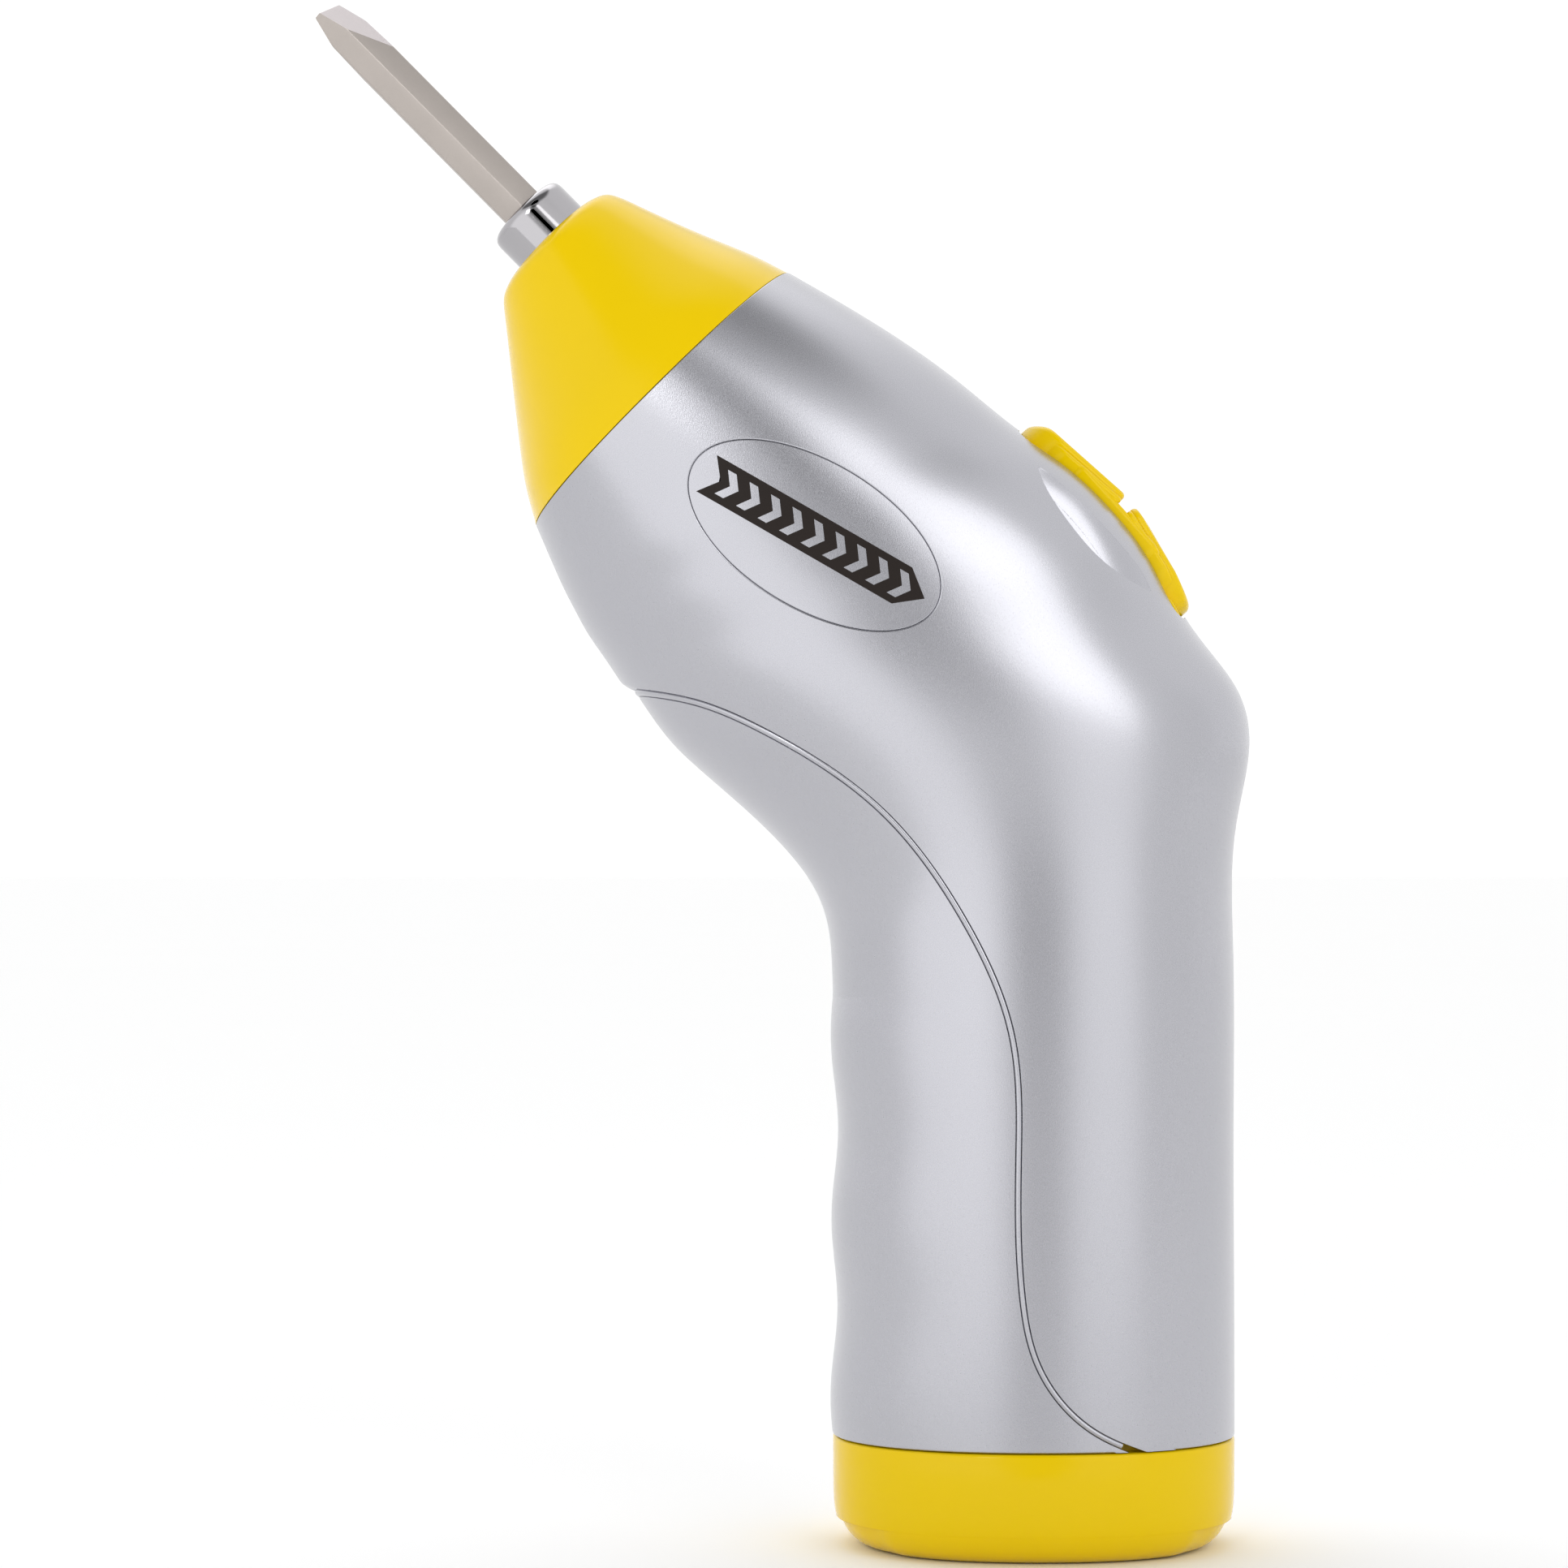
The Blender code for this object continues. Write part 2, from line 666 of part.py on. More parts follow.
def make_nose():
    """The yellow cone: an outer wall, a flat front with the spindle's hole, and a spigot."""
    rings = [nose_ring(*row) for row in NOSE]
    front_hole = COLLAR_RADIUS + GAP
    rings.append(nose_ring(22.0, front_hole, 0))
    rings.append(nose_ring(20.2, front_hole, 0))
    rings.append(nose_ring(20.2, 7.2, -0.3))
    rings += [nose_ring(t, half - WALL - 0.4, centre) for t, half, centre in NOSE[4:0:-1]]
    spigot = NOSE[0][1] - WALL - GAP
    rings.append(nose_ring(0.15, spigot - 1.4, NOSE_CENTRE))
    rings.append(nose_ring(-3.6, spigot - 1.4, NOSE_CENTRE))
    rings.append(nose_ring(-3.6, spigot, NOSE_CENTRE))
    rings.append(nose_ring(0.15, spigot, NOSE_CENTRE))
    nose = closed_loft("nose_cone", rings, "yellow", DRIVE)
    boolean(nose, "DIFFERENCE", drive_keepout())


def make_cap():
    """The yellow foot: a cup with a rounded edge and a spigot inside the shells."""
    profile = CAP_OUTSIDE + CAP_INSIDE
    rings = [[(x, y, z) for x, y in section_outline(inset)] for inset, z in profile]
    cap = loft("battery_cap", rings, "yellow")
    x = CAP_SCREW_X
    boolean(cap, "UNION", rod("cap_boss", (x, 0, 1.0), (x, 0, 14.5), CAP_BOSS_RADIUS))
    bore = [(0, 20), (1.8, 20), (1.8, 3.6), (2.6, 3.6), (2.6, -5), (0, -5)]
    there = Matrix.Translation((x * MM, 0, 0))
    boolean(cap, "DIFFERENCE", turned("cap_screw_room", bore, matrix=there, steps=20))
    head = [(0, 22), (1.5, 22), (1.5, 3.2), (2.2, 3.2), (2.2, 2.0), (1.5, 1.4), (0, 1.4)]
    turned("cap_screw", head, "steel", there, steps=16)
    nut = [(x - 2.7, -2.7), (x + 2.7, -2.7), (x + 2.7, 2.7), (x - 2.7, 2.7)]
    flat("cap_nut", [nut, circle(1.8, 16, (x, 0))], 18.1, 20.5, "steel")


def make_screws():
    seat = SCREW_SEAT + GAP
    head, shank = SCREW_HEAD_RADIUS, SCREW_SHANK_RADIUS
    profile = [(0, seat + 1.6), (head - 0.7, seat + 1.4), (head, seat + 0.5), (head, seat)]
    profile += [(shank, seat), (shank, SCREW_TIP + shank), (0, SCREW_TIP)]
    for n, (x, z) in enumerate(SHELL_SCREWS, 1):
        there = Matrix.Translation(Vector((x, 0, z)) * MM) @ ALONG_Y
        turned(f"shell_screw_{n}", profile, "steel", there, steps=12)


def make_badges():
    for side, name in ((-1, "badge_left"), (1, "badge_right")):
        badge_slab(name, side, 0.0, BADGE_THICKNESS, 0.0, "silver")


# ---- rocker and switch ----------------------------------------------------------------------
def make_rocker():
    """A shallow roof with two pads, a bore for its pin and a fork for the switch lever."""
    outline = [(height, up) for up, height in ROCKER_TOP + ROCKER_UNDER]
    width = ROCKER_HALF_WIDTH
    button = flat("rocker_button", [outline], -width, width, "yellow", ROCKER @ SIDEWAYS)
    move_origin(button, ROCKER @ Vector((ROCKER_PIVOT * MM, 0, 0)))
    made = bmesh.new()
    for low in (-3.2, 1.4):
        add_box(made, (-5.6, -2.0, low), (-1.0, 2.0, low + 1.8))
    fork = from_bmesh("fork", made, matrix=ROCKER)
    boolean(button, "UNION", fork)
    boolean(button, "DIFFERENCE", pin_rod("rocker_bore", PIN_HALF_LENGTH, PIN_BORE_RADIUS))
    pin = pin_rod("rocker_pin", PIN_HALF_LENGTH, PIN_RADIUS, "steel", sides=16)
    move_origin(pin, ROCKER @ Vector((ROCKER_PIVOT * MM, 0, 0)))


def pin_rod(name, half_length, radius, look=None, sides=20):
    """A rod along the rocker's axis."""
    ends = (ROCKER_PIVOT, -half_length, 0), (ROCKER_PIVOT, half_length, 0)
    return rod(name, *ends, radius, look, ROCKER, sides)


def make_switch():
    body = box("switch_body", (-9.2, -3.6, -7.0), (-6.3, 3.6, 7.0), "black_plastic", ROCKER)
    slot = box("lever_room", (-7.6, -2.0, -3.4), (-5.0, 2.0, 3.4), matrix=ROCKER)
    boolean(body, "DIFFERENCE", slot)
    lever = box("switch_lever", (-7.3, -1.6, -1.1), (-4.3, 1.6, 1.1), "white_plastic", ROCKER)
    move_origin(lever, ROCKER @ Vector((-6 * MM, 0, 0)))


def move_origin(obj, point):
    """Puts an object's origin on its joint's axis and leaves its shape where it is."""
    shift = obj.matrix_world.inverted() @ point
    obj.data.transform(Matrix.Translation(-shift))
    obj.matrix_world = obj.matrix_world @ Matrix.Translation(shift)


# ---- gears ----------------------------------------------------------------------------------
def gear_outline(teeth, first=0.0, internal=False):
    """Straight-flanked teeth, thinned for play, the first one centred on an angle."""
    pitch = MODULE * teeth / 2
    sign = -1 if internal else 1
    tip = pitch + sign * 0.8 * MODULE
    root = pitch - sign * 1.05 * MODULE
    half = math.pi * MODULE / 4 - TOOTH_THINNING
    lean = math.tan(PRESSURE_ANGLE)
    outline = []
    for k in range(teeth):
        middle = first + 2 * math.pi * k / teeth
        for radius, side in ((root, -1), (tip, -1), (tip, 1), (root, 1)):
            width = half - sign * (radius - pitch) * lean
            angle = middle + side * width / radius
            outline.append((radius * math.cos(angle), radius * math.sin(angle)))
    return outline


def make_carrier(name, plate, pins, hub, look):
    """A disc with three planet pins, and a gear or a socket on its front."""
    low, high = plate
    disc = [(0, high), (CARRIER_RADIUS, high), (CARRIER_RADIUS, low), (0, low)]
    carrier = turned(name, disc, look, DRIVE)
    made = bmesh.new()
    for k in range(PLANETS):
        angle = 2 * math.pi * k / PLANETS
        x, y = PLANET_ORBIT * math.cos(angle), PLANET_ORBIT * math.sin(angle)
        add_rod(made, (x, y, pins), (x, y, low + 1.0), PLANET_PIN, sides=16)
    boolean(carrier, "UNION", from_bmesh(name + "_pins", made, matrix=DRIVE))
    boolean(carrier, "UNION", hub)
    return carrier


def make_planets(stage, low, high):
    """Three planets, each with its origin on its own pin."""
    facing = math.pi / PLANET_TEETH  # a gap faces the sun
    loops = [gear_outline(PLANET_TEETH, facing), circle(PLANET_PIN + GAP, 16)]
    for k in range(PLANETS):
        turn = Matrix.Rotation(2 * math.pi * k / PLANETS, 4, "Z")
        there = DRIVE @ turn @ Matrix.Translation((PLANET_ORBIT * MM, 0, 0))
        flat(f"{stage}_planet_{k + 1}", loops, low, high, "white_plastic", there)


def make_gearbox():
    ring = [circle(HOUSING_RADIUS, 36), gear_outline(RING_TEETH, internal=True)]
    flat("gear_housing", ring, -16.9, 0.4, "black_plastic", DRIVE)
    back = [circle(HOUSING_RADIUS, 36), circle(4.5, 20)]
    flat("gear_back_plate", back, -18.6, -17.2, "steel", DRIVE)
    cover = [
        (8.6, 12.5),
        (8.6, 3.0),
        (HOUSING_RADIUS, 3.0),
        (HOUSING_RADIUS, 0.7),
        (7.5, 0.7),
        (7.5, 12.5),
    ]
    turned("gear_cover", cover, "black_plastic", DRIVE, ring=True)
    bush = [(7.2, 12.2), (7.2, 7.0), (COLLAR_RADIUS + GAP, 7.0), (COLLAR_RADIUS + GAP, 12.2)]
    turned("front_bush", bush, "bronze", DRIVE, ring=True)
    hub = turned("output_hub", [(0, 4.4), (6.0, 4.4), (6.0, -1.0), (0, -1.0)], matrix=DRIVE)
    output = make_carrier("output_carrier", (-2.2, 0.2), -8.2, hub, "steel")
    socket = flat("output_socket", [hexagon(6.6)], -0.9, 6.0, matrix=DRIVE)
    boolean(output, "DIFFERENCE", socket)
    make_planets("output", -8.0, -2.6)
    sun = flat("middle_sun", [gear_outline(SUN_TEETH)], -9.5, -2.8, matrix=DRIVE)
    make_carrier("middle_carrier", (-10.9, -8.6), -16.6, sun, "steel")
    make_planets("middle", -16.4, -11.3)


# ---- spindle and bit ------------------------------------------------------------------------
def make_spindle():
    radius = COLLAR_RADIUS
    profile = [
        (0, COLLAR_FRONT),
        (radius - 0.9, COLLAR_FRONT),
        (radius - 0.25, COLLAR_FRONT - 0.3),
        (radius, COLLAR_FRONT - 1.0),
        (radius, 6.7),
        (7.0, 6.7),
        (7.0, 5.4),
        (2.9, 5.4),
        (2.9, 4.0),
        (0, 4.0),
    ]
    spindle = turned("bit_spindle", profile, "chrome", DRIVE)
    boolean(spindle, "UNION", flat("spindle_drive", [hexagon(6.0)], -0.6, 5.0, matrix=DRIVE))
    socket = flat("bit_socket", [hexagon(BIT_ACROSS_FLATS + 0.6)], 7.4, 40, matrix=DRIVE)
    boolean(spindle, "DIFFERENCE", socket)
    magnet = [(0, 8.9), (2.2, 8.9), (2.2, 7.7), (0, 7.7)]
    turned("bit_magnet", magnet, "magnet", DRIVE, steps=16)


def make_bit():
    """A hexagon bit with a slotted blade, ground across two opposite corners."""
    start = BIT_TIP - BIT_LENGTH
    bit = flat("screwdriver_bit", [hexagon(BIT_ACROSS_FLATS)], start, BIT_TIP, "bit_steel", DRIVE)
    wide = 4.0
    full = BIT_TIP - (wide - BLADE_THICKNESS / 2) / math.tan(BLADE_SLOPE)
    edge = BLADE_THICKNESS / 2
    wedge = [(-wide, start - 1), (wide, start - 1), (wide, full), (edge, BIT_TIP + 0.01)]
    wedge += [(-edge, BIT_TIP + 0.01), (-wide, full)]
    turn = Matrix.Rotation(math.radians(-30), 4, "Z")
    boolean(bit, "INTERSECT", flat("blade", [wedge], -5, 5, matrix=DRIVE @ turn @ SIDEWAYS))


# ---- motor ----------------------------------------------------------------------------------
def make_motor():
    can = [
        (MOTOR_RADIUS, MOTOR_FRONT),
        (MOTOR_RADIUS, MOTOR_BACK),
        (MOTOR_RADIUS - 0.9, MOTOR_BACK),
        (MOTOR_RADIUS - 0.9, MOTOR_FRONT - 1.0),
        (1.6, MOTOR_FRONT - 1.0),
        (1.6, MOTOR_FRONT),
    ]
    turned("motor_can", can, "steel", DRIVE, ring=True)
    end = [(0, -47.1), (MOTOR_RADIUS, -47.1), (MOTOR_RADIUS, -48.4), (5.0, -48.4)]
    end += [(4.0, -50.0), (0, -50.0)]
    cap = turned("motor_end_cap", end, "black_plastic", DRIVE)
    boolean(cap, "DIFFERENCE", rod("shaft_seat", (0, 0, -44), (0, 0, -48.9), 1.3, matrix=DRIVE))
    for name, middle in (("motor_magnet_upper", 0), ("motor_magnet_lower", 180)):
        arc = arc_outline(8.8, 10.8, math.radians(middle), math.radians(116))
        flat(name, [arc], -43.5, -22.5, "magnet", DRIVE)
    flat("motor_core", [core_outline(), circle(1.3, 12)], -40.5, -25.0, "dark_steel", DRIVE)
    ring = [(2.9, -41.2), (2.9, -46.0), (1.3, -46.0), (1.3, -41.2)]
    turned("motor_commutator", ring, "copper", DRIVE, steps=20, ring=True)
    shaft = [(0, -11.6), (1.0, -11.6), (1.0, -48.6), (0, -48.6)]
    turned("motor_shaft", shaft, "steel", DRIVE, steps=12)
    pinion = [gear_outline(SUN_TEETH), circle(1.3, 12)]
    flat("motor_pinion", pinion, -16.6, -11.5, "bronze", DRIVE)


def arc_outline(inner, outer, middle, spread, steps=10):
    angles = [middle + spread * (i / steps - 0.5) for i in range(steps + 1)]
    points = [(outer * math.cos(a), outer * math.sin(a)) for a in angles]
    return points + [(inner * math.cos(a), inner * math.sin(a)) for a in reversed(angles)]


def core_outline():
    """The laminations of a three-pole armature."""
    outline = []
    for k in range(3):
        middle = 2 * math.pi * k / 3
        shoe = [middle + math.radians(52) * (i / 4 - 1) for i in range(9)]
        outline.append(polar(3.2, middle - 0.75))
        outline.append(polar(6.6, middle - 0.36))
        outline += [polar(8.3 if 0 < i < 8 else 7.6, a) for i, a in enumerate(shoe)]
        outline.append(polar(6.6, middle + 0.36))
        outline.append(polar(3.2, middle + 0.75))
    return outline


def polar(radius, angle):
    return radius * math.cos(angle), radius * math.sin(angle)


# ---- batteries ------------------------------------------------------------------------------
def make_cells():
    top = CELL_BOTTOM + CELL_LENGTH
    for n, (sx, sy, up) in enumerate(CELLS, 1):
        body_top = top - NUB if up else top
        body_low = CELL_BOTTOM if up else CELL_BOTTOM + NUB
        profile = [(0, body_top), (CELL_RADIUS - 0.6, body_top), (CELL_RADIUS, body_top - 0.6)]
        profile += [(CELL_RADIUS, body_low + 0.6), (CELL_RADIUS - 0.6, body_low), (0, body_low)]
        if up:
            profile[0:1] = [(0, top), (2.7, top), (2.7, body_top)]
        else:
            profile[-1:] = [(2.7, body_low), (2.7, CELL_BOTTOM), (0, CELL_BOTTOM)]
        there = Matrix.Translation(Vector((sx * CELL_OFFSET, sy * CELL_OFFSET, 0)) * MM)
        turned(f"cell_{n}", profile, "cell_jacket", there, steps=20)


def cell_place(n):
    sx, sy, _ = CELLS[n - 1]
    return sx * CELL_OFFSET, sy * CELL_OFFSET


def contact_plate(name, cells, stud, low, high, tip):
    """A flat contact over one or two cells, with a stud for the cell whose button faces it."""
    places = [cell_place(n) for n in cells]
    xs, ys = [p[0] for p in places], [p[1] for p in places]
    corner = (min(xs) - CONTACT_REACH, min(ys) - CONTACT_REACH, low)
    opposite = (max(xs) + CONTACT_REACH, max(ys) + CONTACT_REACH, high)
    plate = box(name, corner, opposite, "steel")
    if stud:
        x, y = cell_place(stud)
        button = rod(name + "_stud", (x, y, (low + high) / 2), (x, y, tip), 2.4, sides=16)
        boolean(plate, "UNION", button)


def coil(name, n, low, high):
    """A coil spring under or over one cell's flat end."""
    x, y = cell_place(n)
    turns, steps = 2.0, 20
    rise = high - low - 2 * SPRING_WIRE
    points = []
    for i in range(steps + 1):
        angle = 2 * math.pi * turns * i / steps
        dx, dy = SPRING_RADIUS * math.cos(angle), SPRING_RADIUS * math.sin(angle)
        points.append((x + dx, y + dy, low + SPRING_WIRE + rise * i / steps))
    wire(name, points, SPRING_WIRE, "steel", smooth=False)


def make_contacts():
    bottom, top = CELL_BOTTOM - GAP, CELL_BOTTOM + CELL_LENGTH + GAP
    floor = CAP_FLOOR + GAP
    above = floor + CONTACT_THICKNESS
    contact_plate("cap_bridge_near", (1, 2), 2, floor, above, bottom)
    contact_plate("cap_bridge_far", (3, 4), 4, floor, above, bottom)
    coil("cap_spring_near", 1, above + GAP, bottom)
    coil("cap_spring_far", 3, above + GAP, bottom)
    ceiling = BULKHEAD_BOTTOM - GAP
    under = ceiling - CONTACT_THICKNESS
    contact_plate("upper_bridge", (2, 3), 3, under, ceiling, top)
    contact_plate("plus_terminal", (1,), 1, under, ceiling, top)
    contact_plate("minus_terminal", (4,), None, under, ceiling, top)
    coil("upper_spring_2", 2, top, under - GAP)
    coil("upper_spring_4", 4, top, under - GAP)
    plate = section_outline(WALL + GAP + 0.2)
    holes = [circle(1.2, 12, cell_place(n)) for n in (1, 4)]
    low = BULKHEAD_BOTTOM
    flat("cell_bulkhead", [plate, *holes], low, low + 2.0, "black_plastic")


def make_wires():
    """Leads from the battery terminals to the switch, and from the switch to the motor."""
    low = BULKHEAD_BOTTOM + 0.1
    switch = in_millimetres(ROCKER)
    motor = in_millimetres(DRIVE)
    for name, n, look in (
        ("battery_wire_plus", 1, "red_wire"),
        ("battery_wire_minus", 4, "black_wire"),
    ):
        x, y = cell_place(n)
        side = 1 if y > 0 else -1
        solder = switch @ Vector((-8.2, side * 4.8, -5.5))
        route = [(x, y, low), (x, y, low + 6), (x + 4, side * 12, 78), (6, side * 14.6, 90)]
        route += [(10.5, side * 12.5, 101), tuple(solder)]
        wire(name, route, WIRE_RADIUS, look)
    for name, side, look in (
        ("motor_wire_plus", -1, "red_wire"),
        ("motor_wire_minus", 1, "black_wire"),
    ):
        solder = switch @ Vector((-8.2, side * 4.8, -2.5))
        tag = motor @ Vector((1.0, side * 8.0, -49.3))
        route = [tuple(tag), tuple(motor @ Vector((2.0, side * 10.0, -53.5)))]
        route += [tuple(motor @ Vector((9.5, side * 10.5, -53.5))), tuple(solder)]
        wire(name, route, WIRE_RADIUS, look)


def main():
    for side in (-1, 1):
        make_shell(side)
    make_grip()
    make_nose()
    make_cap()
    make_badges()
    make_screws()
    make_rocker()
    make_switch()
    make_spindle()
    make_bit()
    make_gearbox()
    make_motor()
    make_cells()
    make_contacts()
    make_wires()


clear_scene()
PART = new_collection("power_screwdriver")
CUTTERS = new_collection("cutters", hidden=True)
DRIVE = drive_frame()
ROCKER = rocker_frame()
main()
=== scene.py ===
"""Looks of a child's battery power screwdriver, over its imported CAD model.

Silver half shells with an oval badge, a silver finger grip with a beaded seam, a yellow nose,
rocker and battery cap, a chrome collar and a slotted hexagon bit. What lies inside keeps the
CAD's shapes and gets its finishes here.

Lengths are in millimetres, in the CAD's frame: +Z is up, the nose points towards -X and up,
the halves part at y = 0 and the foot stands on z = 0. They become metres where a mesh is made.
"""

import math

import bmesh
import bpy
import numpy as np
from mathutils import Matrix, Vector
from mathutils.bvhtree import BVHTree


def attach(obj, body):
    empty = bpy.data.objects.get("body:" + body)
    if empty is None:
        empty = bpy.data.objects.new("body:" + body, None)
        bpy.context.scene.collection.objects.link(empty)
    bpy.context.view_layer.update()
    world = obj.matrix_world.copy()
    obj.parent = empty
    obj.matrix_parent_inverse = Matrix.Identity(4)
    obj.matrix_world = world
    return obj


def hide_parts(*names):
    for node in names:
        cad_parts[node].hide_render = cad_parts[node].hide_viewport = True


MM = 0.001

# ---- the CAD's own sizes ----
# Sections along the handle and head: front point (x, z), back point (x, z), half depth in y.
SECTIONS = [
    ((-23.15, 12.7), (23.1, 12.7), 20.0),
    ((-23.05, 31.0), (23.05, 31.0), 20.0),
    ((-23.0, 50.0), (23.0, 50.0), 20.0),
    ((-23.3, 66.0), (22.95, 68.5), 20.0),
    ((-25.6, 75.9), (23.2, 82.0), 20.1),
    ((-32.6, 83.9), (24.8, 91.2), 20.5),
    ((-40.5, 90.9), (23.3, 98.6), 21.0),
    ((-46.9, 98.2), (17.0, 107.4), 21.4),
    ((-49.1, 101.5), (13.9, 113.4), 21.5),
    ((-51.3, 104.7), (9.6, 119.0), 21.6),
    ((-52.7, 107.2), (4.5, 123.8), 21.55),
    ((-53.8, 109.3), (-1.5, 128.0), 21.5),
    ((-54.7, 111.2), (-8.6, 133.7), 21.3),
    ((-57.3, 117.2), (-28.1, 146.2), 20.5),
]
SKIN_POWER = 2.25
FOOT_HALF = (23.1, 20.0)
GROOVE_DEPTH = 0.37
GROOVE_PITCH = 20.6
GROOVE_TOP = 58.1
WALL = 2.0
GRIP_EDGE = [
    (-52.0, 99.3),
    (-45.5, 98.2),
    (-38.7, 96.8),
    (-30.5, 93.25),
    (-17.5, 84.3),
    (-8.5, 72.3),
    (-3.1, 59.3),
    (-2.35, 44.7),
    (-1.9, 30.0),
    (-0.3, 22.9),
    (5.8, 15.5),
    (13.5, 12.0),
    (20.0, 9.0),
]
DRIVE_ORIGIN = (-39.8, 134.57)
DRIVE_DIRECTION = (-0.7034, 0.7108)
# Nose outline: t along the drive line, half width, centre offset.
NOSE = [
    (0.03, 20.5, -4.1),
    (4.0, 18.75, -3.6),
    (8.0, 16.5, -2.95),
    (13.0, 13.55, -2.0),
    (18.0, 10.65, -0.95),
    (20.3, 9.3, -0.5),
    (21.4, 8.4, -0.35),
    (22.0, 7.1, -0.3),
]
NOSE_CENTRE = -4.1
COLLAR_RADIUS = 5.0
COLLAR_FRONT = 27.0
SOCKET_ACROSS_FLATS = 5.6
BIT_ACROSS_FLATS = 5.0
BIT_LENGTH = 50.0
BIT_TIP = 59.3
BLADE_THICKNESS = 0.8
BLADE_SLOPE = math.radians(16.0)
ROCKER_CENTRE = (7.95, 117.45)
ROCKER_DOWN = (0.667, -0.745)
ROCKER_PIVOT = -1.3
PIN_BORE_RADIUS = 1.3
WELL_HALF_LENGTH = 14.35
WELL_HALF_WIDTH = 7.4
WELL_CORNER = 2.4
SHELL_SCREWS = [(-45.3, 113.3), (-10.4, 129.4), (17.2, 97.2), (18.3, 72.0), (18.3, 34.0)]
SCREW_SEAT = 5.8
SCREW_RECESS_RADIUS = 2.6
CAP_SCREW_X = 17.0
BADGE_CENTRE = (-25.4, 114.7)
BADGE_HALF = (15.6, 8.1)
BADGE_TILT = math.radians(-31)
CELL_RADIUS = 7.1
CELL_BOTTOM = 7.0
CELL_TOP = 57.5
CELL_OFFSET = 7.4
CELL_NUB = 1.2
CELLS = [(-1, -1, True), (1, -1, False), (1, 1, True), (-1, 1, False)]  # x, y, button up

# The hollow beside the rocker: distance down the back, outer and inner edge from the chord.
SCOOP = [
    (-9.6, -2.3, -2.2),
    (-7.6, -3.2, -1.75),
    (-5.4, -3.75, -1.5),
    (-2.6, -4.12, -1.3),
    (0.0, -4.28, -1.16),
    (2.8, -4.15, -1.08),
    (5.4, -3.62, -1.12),
    (7.4, -2.95, -1.35),
    (9.4, -2.1, -2.0),
]
SCOOP_DEPTH = 2.1  # along y
SCOOP_ROWS = 90
SCOOP_COLUMNS = 25

# ---- finer things that only show ----
PARTING = 0.05  # each half shell's distance from y = 0
FOOT = 12.72  # where shells and grip stop above the cap
SKIN_WALL = 1.2  # outer layer modelled here; the CAD's solid fills in behind it
LIP_REACH = 1.15  # width of the strips that run along the grip's seam


# ---- numbers ----
def smooth(x):
    x = np.clip(x, 0.0, 1.0)
    return x * x * (3 - 2 * x)


def natural_spline(points, path=None):
    """A natural cubic spline from 0 to 1, its knots spaced as they lie along a path."""
    values = np.array(points, float)
    steps = np.linalg.norm(np.diff(values if path is None else path, axis=0), axis=1)
    knots = np.concatenate([[0], np.cumsum(steps)]) / steps.sum()
    gaps = np.diff(knots)
    count = len(knots)
    system = np.eye(count)
    right = np.zeros_like(values)
    for i in range(1, count - 1):
        system[i, i - 1 : i + 2] = gaps[i - 1], 2 * (gaps[i - 1] + gaps[i]), gaps[i]
        slopes = np.diff(values[i - 1 : i + 2], axis=0) / gaps[i - 1 : i + 1, None]
        right[i] = 3 * (slopes[1] - slopes[0])
    bend = np.linalg.solve(system, right)

    def at(u):
        u = np.atleast_1d(np.asarray(u, float))
        i = np.clip(np.searchsorted(knots, u, side="right") - 1, 0, count - 2)
        gap, x = gaps[i][:, None], (u - knots[i])[:, None]
        slope = (values[i + 1] - values[i]) / gap - gap * (2 * bend[i] + bend[i + 1]) / 3
        return values[i] + x * (slope + x * (bend[i] + x * (bend[i + 1] - bend[i]) / 3 / gap))

    return at


def superellipse(angles, power=SKIN_POWER):
    c, s = np.cos(angles), np.sin(angles)
    return np.sign(c) * np.abs(c) ** (2 / power), np.sign(s) * np.abs(s) ** (2 / power)


# ---- frames ----
def frame_from(origin, along):
    """Local z along a direction in the x-z plane, local y the world's; in millimetres."""
    dx, dz = along
    turn = Matrix(((dz, 0, dx), (0, 1, 0), (-dx, 0, dz)))
    return Matrix.Translation((origin[0], 0, origin[1])) @ turn.to_4x4()


DRIVE = frame_from(DRIVE_ORIGIN, DRIVE_DIRECTION)
ROCKER = frame_from(ROCKER_CENTRE, (-ROCKER_DOWN[0], -ROCKER_DOWN[1]))  # x out, z up the back
SIDEWAYS = Matrix.Rotation(math.radians(90), 4, "X")  # an outline's (x, y) becomes (x, z)
ALONG_Y = Matrix.Rotation(math.radians(-90), 4, "X")


# ---- skin ----
def skin_sections():
    rows = np.array([(*front, *back, depth) for front, back, depth in SECTIONS])
    return natural_spline(rows, (rows[:, :2] + rows[:, 2:4]) / 2)


SKIN = skin_sections()
SKIN_LENGTH = 165.0  # along the middle of the skin, about


def skin_grid(rows, angles, inset=0.0):
    """Points of the skin for each row (foot to nose) and angle (from the back round by +y)."""
    fx, fz, bx, bz, depth = (v[:, None] for v in SKIN(rows).T)
    half = np.hypot(bx - fx, bz - fz) / 2
    ex, ez = (bx - fx) / 2 / half, (bz - fz) / 2 / half
    cx, cy = superellipse(angles)
    across, y = cx * (half - inset), cy * (depth - inset)
    x, z = (fx + bx) / 2 + ex * across, (fz + bz) / 2 + ez * across
    c = np.cos(angles)
    wave = np.cos(2 * math.pi * (z - GROOVE_TOP) / GROOVE_PITCH) * c * c
    waved = (c < 0) & (z < GROOVE_TOP + GROOVE_PITCH / 4)
    return np.stack([x - GROOVE_DEPTH * wave * waved, y, z], axis=-1)


def no_inset(z):
    return 0 * z


def grip_inset(z):
    """How far the grip lies under the shells' skin: a step below the head, then nearly flush."""
    return 0.1 + 0.75 * smooth((np.asarray(z) - 90.5) / 8.0)


